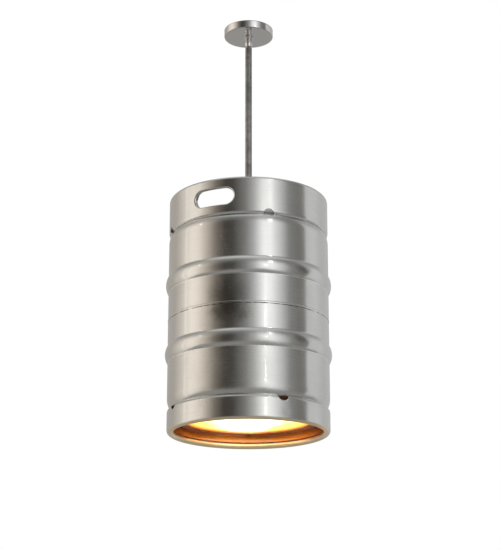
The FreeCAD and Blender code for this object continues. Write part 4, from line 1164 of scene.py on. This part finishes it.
    def _bottom_chime(self) -> None:
        """Foot ring with four drain notches."""
        outline = self._chime_outline(self.bottom_groove, self.bottom_knuckle_rise, self.base,
                                      self.bottom_bead, -1)
        sheet = TurnedSheet(
            outline, self.chime_wall, self.segments * 3 // 2,
            self._notches(self.bottom_notch_angle, self.bottom_groove, self.bottom_notch),
            wave=0.2 * MM, seed=6.0,
            dents=[(math.radians(bearing), self.base + height, size, depth)
                   for bearing, height, size, depth in self.foot_dents])
        keep(sheet.make("foot_ring_sheet"), "bottom_chime", "keg",
             self.foot_steel)


# Light source -----------------------------------------------------------------------------


@dataclass
class LampCluster:
    """Cover, sockets and bulbs inside the keg."""

    cover: Finish = TurnedMetal("cluster_steel_paint", colour=grey(0.55, 0.02),
                                dull=grey(0.4), rough=0.3, lines=700.0)
    ceramic: Finish = Coating("socket_glaze", colour=(0.78, 0.76, 0.70, 1.0),
                              second=(0.62, 0.60, 0.54, 1.0), rough=0.25, coat=0.6)
    brass: Finish = TurnedMetal("bulb_brass_shell", colour=(0.78, 0.60, 0.28, 1.0),
                                dull=(0.5, 0.36, 0.16, 1.0), rough=0.25, lines=1200.0)
    glass: Finish = BulbGlass("opal_bulb_glass")
    lamps: int = 3

    def build(self) -> None:
        """Dress the cluster and its bulbs."""
        dress(self.cover, "cluster_cover", "cluster_body")
        for index in range(1, self.lamps + 1):
            dress(self.ceramic, f"lamp_socket_{index}")
            dress(self.brass, f"bulb_base_{index}")
            dress(self.glass, f"bulb_glass_{index}")


@dataclass
class Mouth:
    """Trim ring, screws, brackets and the lit disc."""

    # Dull copper, darker than the foot's copper wall: partly the ring's own colour, partly painted
    # shade for its shaded underside.
    copper: Finish = TurnedMetal("copper_trim_painted_shade", colour=(0.42, 0.13, 0.03, 1.0),
                                 dull=(0.22, 0.06, 0.015, 1.0), rough=0.35, lines=900.0,
                                 scuffing=0.4)
    lit: Finish = LitAcrylic("lit_acrylic")

    def build(self) -> None:
        """Dress the mouth's pieces."""
        dress(self.copper, "trim_ring", "trim_screws", "ring_brackets")
        dress(self.lit, "diffuser")


# Studio -----------------------------------------------------------------------------------


@dataclass(frozen=True)
class Card:
    """One of the soft cards round the studio: its bearing from the camera, brightness and tint."""

    turn: float
    level: float
    warmth: float = 0.0


@dataclass(frozen=True)
class Tier:
    """Light above or below the cards at one elevation, and its share there."""

    rise: float
    level: float
    share: float


@dataclass(frozen=True)
class Softbox:
    """A small softbox, hung where the camera sees it mirrored at one spot of the keg's wall.

    The spot has a bearing from the camera, a height and a tilt of the metal there, in degrees.
    """

    name: str
    bearing: float
    height: float
    tilt: float
    wide: float
    tall: float
    power: float
    range: float = 3.0


@dataclass
class Studio:
    """Room, floor and camera."""

    camera_turn: float = 25.6
    camera_range: float = 3.648
    camera_height: float = -1.783
    camera_tilt: float = 16.95
    camera_pan: float = -0.058
    lens: float = 99.75
    floor_height: float = -2.9
    floor_size: float = 90.0
    bounce_size: float = 9.0
    floor_paint: Finish = Coating("pale_floor_paint", colour=grey(0.90), second=grey(0.88),
                                  rough=0.8, skin_scale=40.0, glow=0.30)
    bounce_paint: Finish = Coating("bounce_floor_paint", colour=grey(0.72), second=grey(0.69),
                                   rough=0.8, skin_scale=40.0)
    cards: Sequence[Card] = field(default_factory=lambda: (
        Card(-180, 0.42, 0.03), Card(-150, 0.46, 0.07), Card(-128, 0.52, 0.09),
        Card(-108, 0.82, 0.10), Card(-103, 0.90, 0.10), Card(-101, 1.50, 0.06),
        Card(-99, 0.95, 0.10), Card(-90, 1.20, 0.10), Card(-78, 1.10, 0.10),
        Card(-64, 0.70, 0.14), Card(-48, 0.22, 0.16), Card(-34, 0.06, 0.14),
        Card(-22, 0.07, 0.12), Card(-4, 0.28, 0.02), Card(8, 0.62, 0.0),
        Card(20, 1.34, 0.0), Card(32, 1.38, 0.0), Card(46, 0.86, -0.01),
        Card(60, 0.32, 0.0), Card(75, 0.23, 0.04), Card(87, 0.26, 0.03),
        Card(91, 0.78, 0.0), Card(110, 0.78, 0.0), Card(130, 0.62, 0.0),
        Card(152, 0.58, 0.0), Card(180, 0.42, 0.03)))
    tiers: Sequence[Tier] = field(default_factory=lambda: (
        Tier(-90, 0.50, 1.0), Tier(-50, 0.50, 0.9), Tier(-34, 0.45, 0.35), Tier(-24, 0.4, 0.0),
        Tier(26, 0.4, 0.0), Tier(38, 0.25, 0.55), Tier(54, 0.30, 0.85), Tier(64, 0.85, 0.9),
        Tier(74, 0.8, 1.0), Tier(90, 0.6, 1.0)))
    wall_radius: float = 0.2
    boxes: Sequence[Softbox] = (
        Softbox("window_strip", 11.5, -0.975, 0.0, 0.03, 0.12, 0.5),
        Softbox("ring_softbox", 15.0, -0.70, 9.0, 0.16, 0.10, 1.4),
        Softbox("side_softbox", -35.0, -0.70, 9.0, 0.05, 0.04, 0.25))

    def build(self) -> None:
        """Make the room, floor and camera."""
        self._room()
        for box in self.boxes:
            self._softbox(box)
        self._floors()
        self._camera()

    def _room(self) -> None:
        """White to the camera; soft cards round the walls for what the metal mirrors."""
        world = bpy.data.worlds.new("studio_room")
        bpy.context.scene.world = world
        world.use_nodes = True
        world.node_tree.nodes.clear()
        graph = Graph(world.node_tree)
        x, y, z = graph.parts(graph.node("TexCoord").outputs["Generated"])
        turn = math.radians(self.camera_turn)
        side = graph.math("ADD", graph.math("MULTIPLY", x, math.cos(turn)),
                          graph.math("MULTIPLY", y, math.sin(turn)))
        ahead = graph.math("SUBTRACT", graph.math("MULTIPLY", x, math.sin(turn)),
                           graph.math("MULTIPLY", y, math.cos(turn)))
        place = graph.math("ADD", graph.math("DIVIDE", graph.math("ARCTAN2", side, ahead),
                                             2 * math.pi), 0.5)
        walls, _ = self._ramp(graph, place, [
            (card.turn / 360 + 0.5, grey(card.level, card.warmth)) for card in self.cards])
        tiers, share = self._ramp(graph, graph.span(z, -1.0, 1.0), [
            (math.sin(math.radians(tier.rise)) / 2 + 0.5, (*grey(tier.level)[:3], tier.share))
            for tier in self.tiers])
        room = graph.blend(share, walls, tiers)
        lit = graph.node("Background")
        graph.feed(lit.inputs["Color"], room)
        white = graph.node("Background")
        white.inputs["Color"].default_value = grey(1.0)
        seen = graph.node("MixShader")
        graph.feed(seen.inputs[0], graph.node("LightPath").outputs["Is Camera Ray"])
        graph.feed(seen.inputs[1], lit.outputs[0])
        graph.feed(seen.inputs[2], white.outputs[0])
        graph.feed(graph.node("OutputWorld").inputs["Surface"], seen.outputs[0])
        bpy.context.scene.view_settings.view_transform = "Standard"

    def _softbox(self, box: Softbox) -> None:
        """Hang one small softbox by the law of reflection."""
        turn = math.radians(self.camera_turn + box.bearing)
        tilt = math.radians(box.tilt)
        out = Vector((math.sin(turn), -math.cos(turn), 0))
        spot = out * self.wall_radius + Vector((0, 0, box.height))
        normal = out * math.cos(tilt) + Vector((0, 0, math.sin(tilt)))
        sight = (spot - self._camera_place()).normalized()
        away = sight - 2 * sight.dot(normal) * normal
        data = bpy.data.lights.new(box.name, "AREA")
        data.shape = "RECTANGLE"
        data.size = box.wide
        data.size_y = box.tall
        data.energy = box.power
        lamp = bpy.data.objects.new(box.name, data)
        lamp.location = spot + away * box.range
        lamp.rotation_mode = "QUATERNION"
        lamp.rotation_quaternion = away.to_track_quat("Z", "Y")
        bpy.context.scene.collection.objects.link(lamp)

    def _camera_place(self) -> Vector:
        """Where the camera stands."""
        turn = math.radians(self.camera_turn)
        return Vector((self.camera_range * math.sin(turn), -self.camera_range * math.cos(turn),
                       self.camera_height))

    @staticmethod
    def _ramp(graph: Graph, place: bpy.types.NodeSocket,
              stops: Sequence[tuple[float, Colour]]) -> tuple:
        """Colours and shares along a value.

        Args:
            graph: the world's graph.
            place: the value, from 0 to 1.
            stops: where each colour stands, with its share as alpha.

        Returns:
            The colour and alpha sockets.
        """
        made = graph.node("ValToRGB")
        ramp = made.color_ramp
        first, *between, last = stops
        for element, (position, colour) in zip(ramp.elements, (first, last)):
            element.position = position
            element.color = colour
        for position, colour in between:
            ramp.elements.new(position).color = colour
        graph.feed(made.inputs[0], place)
        return tuple(made.outputs)

    def _floor(self, name: str, size: float, paint: Finish) -> bpy.types.Object:
        """Level sheet well below the lamp.

        Args:
            name: its name.
            size: length of a side.
            paint: its paint.

        Returns:
            The floor.
        """
        mesh = bmesh.new()
        bmesh.ops.create_grid(mesh, x_segments=8, y_segments=8, size=size / 2)
        bmesh.ops.translate(mesh, vec=(0, 0, self.floor_height), verts=mesh.verts)
        floor = finish_mesh(mesh, name)
        floor.data.materials.append(paint.make())
        return floor

    def _floors(self) -> None:
        """Wide pale floor that is seen, and a small one that only throws light back up."""
        seen = self._floor("pale_floor", self.floor_size, self.floor_paint)
        seen.visible_diffuse = seen.visible_glossy = seen.visible_transmission = False
        bounce = self._floor("bounce_floor", self.bounce_size, self.bounce_paint)
        bounce.visible_camera = False
        bounce.visible_shadow = False

    def _camera(self) -> None:
        """Camera below the keg's foot, looking up at the lamp."""
        turn = math.radians(self.camera_turn)
        data = bpy.data.cameras.new("camera")
        data.lens = self.lens
        data.clip_end = 200
        camera = bpy.data.objects.new("camera", data)
        camera.location = self._camera_place()
        camera.rotation_euler = (math.radians(90 + self.camera_tilt), 0,
                                 turn + math.radians(self.camera_pan))
        bpy.context.scene.collection.objects.link(camera)
        bpy.context.scene.camera = camera


# Putting it together ----------------------------------------------------------------------


def dress(finish: Finish, *nodes: str) -> None:
    """Give CAD nodes a finish in place of their own.

    Args:
        finish: the finish.
        *nodes: names of the nodes.
    """
    material = finish.make()
    for name in nodes:
        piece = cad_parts[name]
        for slot in piece.material_slots:
            slot.material = material
        LOG.info("dressed %s with %s", name, finish.name)


def keep(piece: bpy.types.Object, node: str, body: str, finish: Finish) -> None:
    """Put a finished piece in place of its CAD node.

    Args:
        piece: the new piece.
        node: the node it stands for.
        body: the body it moves with.
        finish: its finish.
    """
    piece.data.materials.append(finish.make())
    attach(piece, body)
    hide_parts(node)
    LOG.info("made %s for %s on %s", piece.name, node, body)


def main() -> None:
    """Build the lamp and its studio."""
    for part in (CeilingFitting(), DownRod(), Keg(), LampCluster(), Mouth(), Studio()):
        LOG.info("building %s", type(part).__name__)
        part.build()


if __name__ == "__main__":
    logging.basicConfig(level=logging.INFO, format="%(message)s")
    main()
